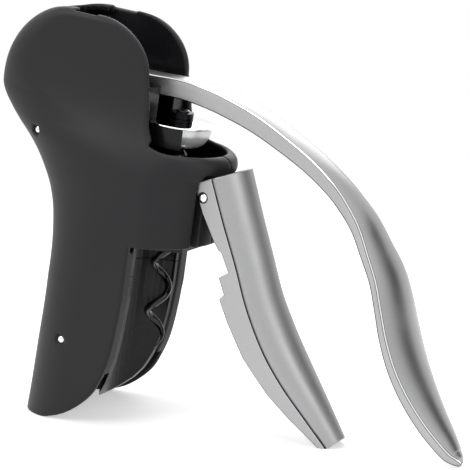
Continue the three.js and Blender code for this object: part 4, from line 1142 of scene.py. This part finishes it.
# %% Camera
AZIMUTH, ELEVATION = math.radians(29.0), math.radians(10.8)
LENS_MM, SENSOR_MM = 127.9, 36
CAMERA_AHEAD, CAMERA_Y, CAMERA_HEIGHT = 0.334, -0.5285, 0.1896  # ahead of the worm's foot
camera_data = bpy.data.cameras.new("camera")
camera_data.lens, camera_data.sensor_width = LENS_MM, SENSOR_MM
camera = bpy.data.objects.new("camera", camera_data)
scene.collection.objects.link(camera)
camera.location = (AXIS_FOOT_X + CAMERA_AHEAD, CAMERA_Y, CAMERA_HEIGHT)
backward = Vector((
    math.sin(AZIMUTH) * math.cos(ELEVATION),
    -math.cos(AZIMUTH) * math.cos(ELEVATION),
    math.sin(ELEVATION),
))
camera.rotation_mode = "QUATERNION"
camera.rotation_quaternion = (-backward).to_track_quat("-Z", "Y")
scene.camera = camera
print("camera at", [round(v, 3) for v in camera.location])

# %% [markdown]
# Polished and satin metal shows its surroundings. The studio is a white tent: camera, glossy and
# transmission rays see white, and the light on the object itself comes from a dimmer sky and four
# soft panels. A dark panel behind on the right, out of the frame, draws the dark soft band down
# the lever's paddle and the grip. Only reflections see it.

# %% The white tent
TENT_RADIUS, TENT_FADE = 0.75, 0.45
SKY_STRENGTH, FLOOR_GLOW = 0.4, 0.5
FLOOR_SIDE = TENT_RADIUS * 1.1
FLOOR_TONE, BOUNCE_TONE, FLAG_TONE = ((level, level, level, 1) for level in (0.86, 0.35, 0.02))


def seen_rays(tree):
    """A factor of 1 for camera, glossy and transmission rays."""
    path = add(tree, "ShaderNodeLightPath").outputs
    factor = path["Is Camera Ray"]
    for ray in ("Is Glossy Ray", "Is Transmission Ray"):
        either = {0: factor, 1: path[ray]}
        factor = add(tree, "ShaderNodeMath", either, operation="MAXIMUM").outputs[0]
    return factor


def mixed(tree, factor, first, second):
    """The first shader's output at a factor of 0, and the second's at 1."""
    return add(tree, "ShaderNodeMixShader", {0: factor, 1: first, 2: second}).outputs[0]


def studio_world():
    world = bpy.data.worlds.new("white_tent")
    scene.world = world
    world.use_nodes = True
    tree = world.node_tree
    tree.nodes.clear()
    sky, white = (add(tree, "ShaderNodeBackground", {"Color": (1, 1, 1, 1), "Strength": strength})
                  for strength in (SKY_STRENGTH, 1))
    seen = mixed(tree, seen_rays(tree), sky.outputs[0], white.outputs[0])
    add(tree, "ShaderNodeOutputWorld", {"Surface": seen})


studio_world()
print("world", scene.world.name)

# %% Floor and dark panel


def flat_panel(name, corners, material):
    """A four-cornered sheet of the studio. It is no part of the corkscrew."""
    mesh = bpy.data.meshes.new(name)
    mesh.from_pydata(corners, [], [(0, 1, 2, 3)])
    mesh.materials.append(material)
    panel = bpy.data.objects.new(name, mesh)
    scene.collection.objects.link(panel)
    return panel


def floor_finish():
    """White with the object's shadow on it, fading into the white tent further out."""
    material, tree, shader = shader_tree("white_floor")
    fill(tree, shader, {"Base Color": FLOOR_TONE, "Roughness": 0.8, "Specular IOR Level": 0.2})
    glow = add(tree, "ShaderNodeEmission", {"Strength": FLOOR_GLOW}).outputs[0]
    lit = add(tree, "ShaderNodeAddShader", {0: shader.outputs[0], 1: glow}).outputs[0]
    bounce = add(tree, "ShaderNodeBsdfDiffuse", {"Color": BOUNCE_TONE}).outputs[0]
    bright = mixed(tree, seen_rays(tree), bounce, lit)
    coords = add(tree, "ShaderNodeTexCoord").outputs["Object"]
    length = add(tree, "ShaderNodeVectorMath", {0: coords}, operation="LENGTH")
    fade = add(tree, "ShaderNodeMapRange", {
        "Value": length.outputs["Value"],
        "From Min": TENT_RADIUS - TENT_FADE, "From Max": TENT_RADIUS,
    }, interpolation_type="SMOOTHSTEP").outputs["Result"]
    clear = add(tree, "ShaderNodeBsdfTransparent").outputs[0]
    fill(tree, tree.nodes["Material Output"], {"Surface": mixed(tree, fade, bright, clear)})
    return material


def dark_flag(name, place, aim, width, height):
    """A black panel that stands facing the object and shows only in reflections."""
    material, tree, shader = shader_tree("black_flag")
    fill(tree, shader, {"Base Color": FLAG_TONE, "Roughness": 1.0, "Specular IOR Level": 0.0})
    place = Vector(place)
    toward = (Vector(aim) - place).normalized()
    across = toward.cross(Vector((0, 0, 1))).normalized() * width / 2
    upward = across.cross(toward).normalized() * height / 2
    corners = [tuple(place + a * across + b * upward) for a, b in SQUARE]
    flag = flat_panel(name, corners, material)
    flag.visible_camera = flag.visible_diffuse = flag.visible_shadow = False


SQUARE = ((-1, -1), (1, -1), (1, 1), (-1, 1))
floor_corners = [(a * FLOOR_SIDE, b * FLOOR_SIDE, 0) for a, b in SQUARE]
flat_panel("studio_floor", floor_corners, floor_finish())
dark_flag("dark_panel", place=(0.72, 0.5, 0.2), aim=(0.1, 0, 0.08), width=0.42, height=0.9)
print("floor", 2 * FLOOR_SIDE, "m across, and one dark panel")

# %% Lamps
LAMPS = [
    # name, place, aim, width, height, power
    ("key_panel", (-0.55, -0.75, 0.8), (0, 0, 0.09), 0.6, 0.6, 4.0),
    ("front_panel", (0.9, -0.35, 0.45), (0, 0, 0.09), 0.35, 0.8, 2.0),
    ("top_panel", (0.05, 0.1, 1.1), (0, 0, 0.05), 0.9, 0.9, 5.0),
    ("rear_panel", (-0.3, 0.9, 0.6), (0, 0, 0.1), 0.7, 0.5, 2.5),
]
for name, place, aim, width, height, power in LAMPS:
    data = bpy.data.lights.new(name, "AREA")
    data.shape = "RECTANGLE"
    data.size, data.size_y = width, height
    data.energy = power
    lamp = bpy.data.objects.new(name, data)
    scene.collection.objects.link(lamp)
    lamp.location = place
    lamp.rotation_mode = "QUATERNION"
    lamp.rotation_quaternion = (Vector(aim) - Vector(place)).to_track_quat("-Z", "Y")
print(len(LAMPS), "lamps")

# %% Finish
scene.view_settings.view_transform = "Standard"
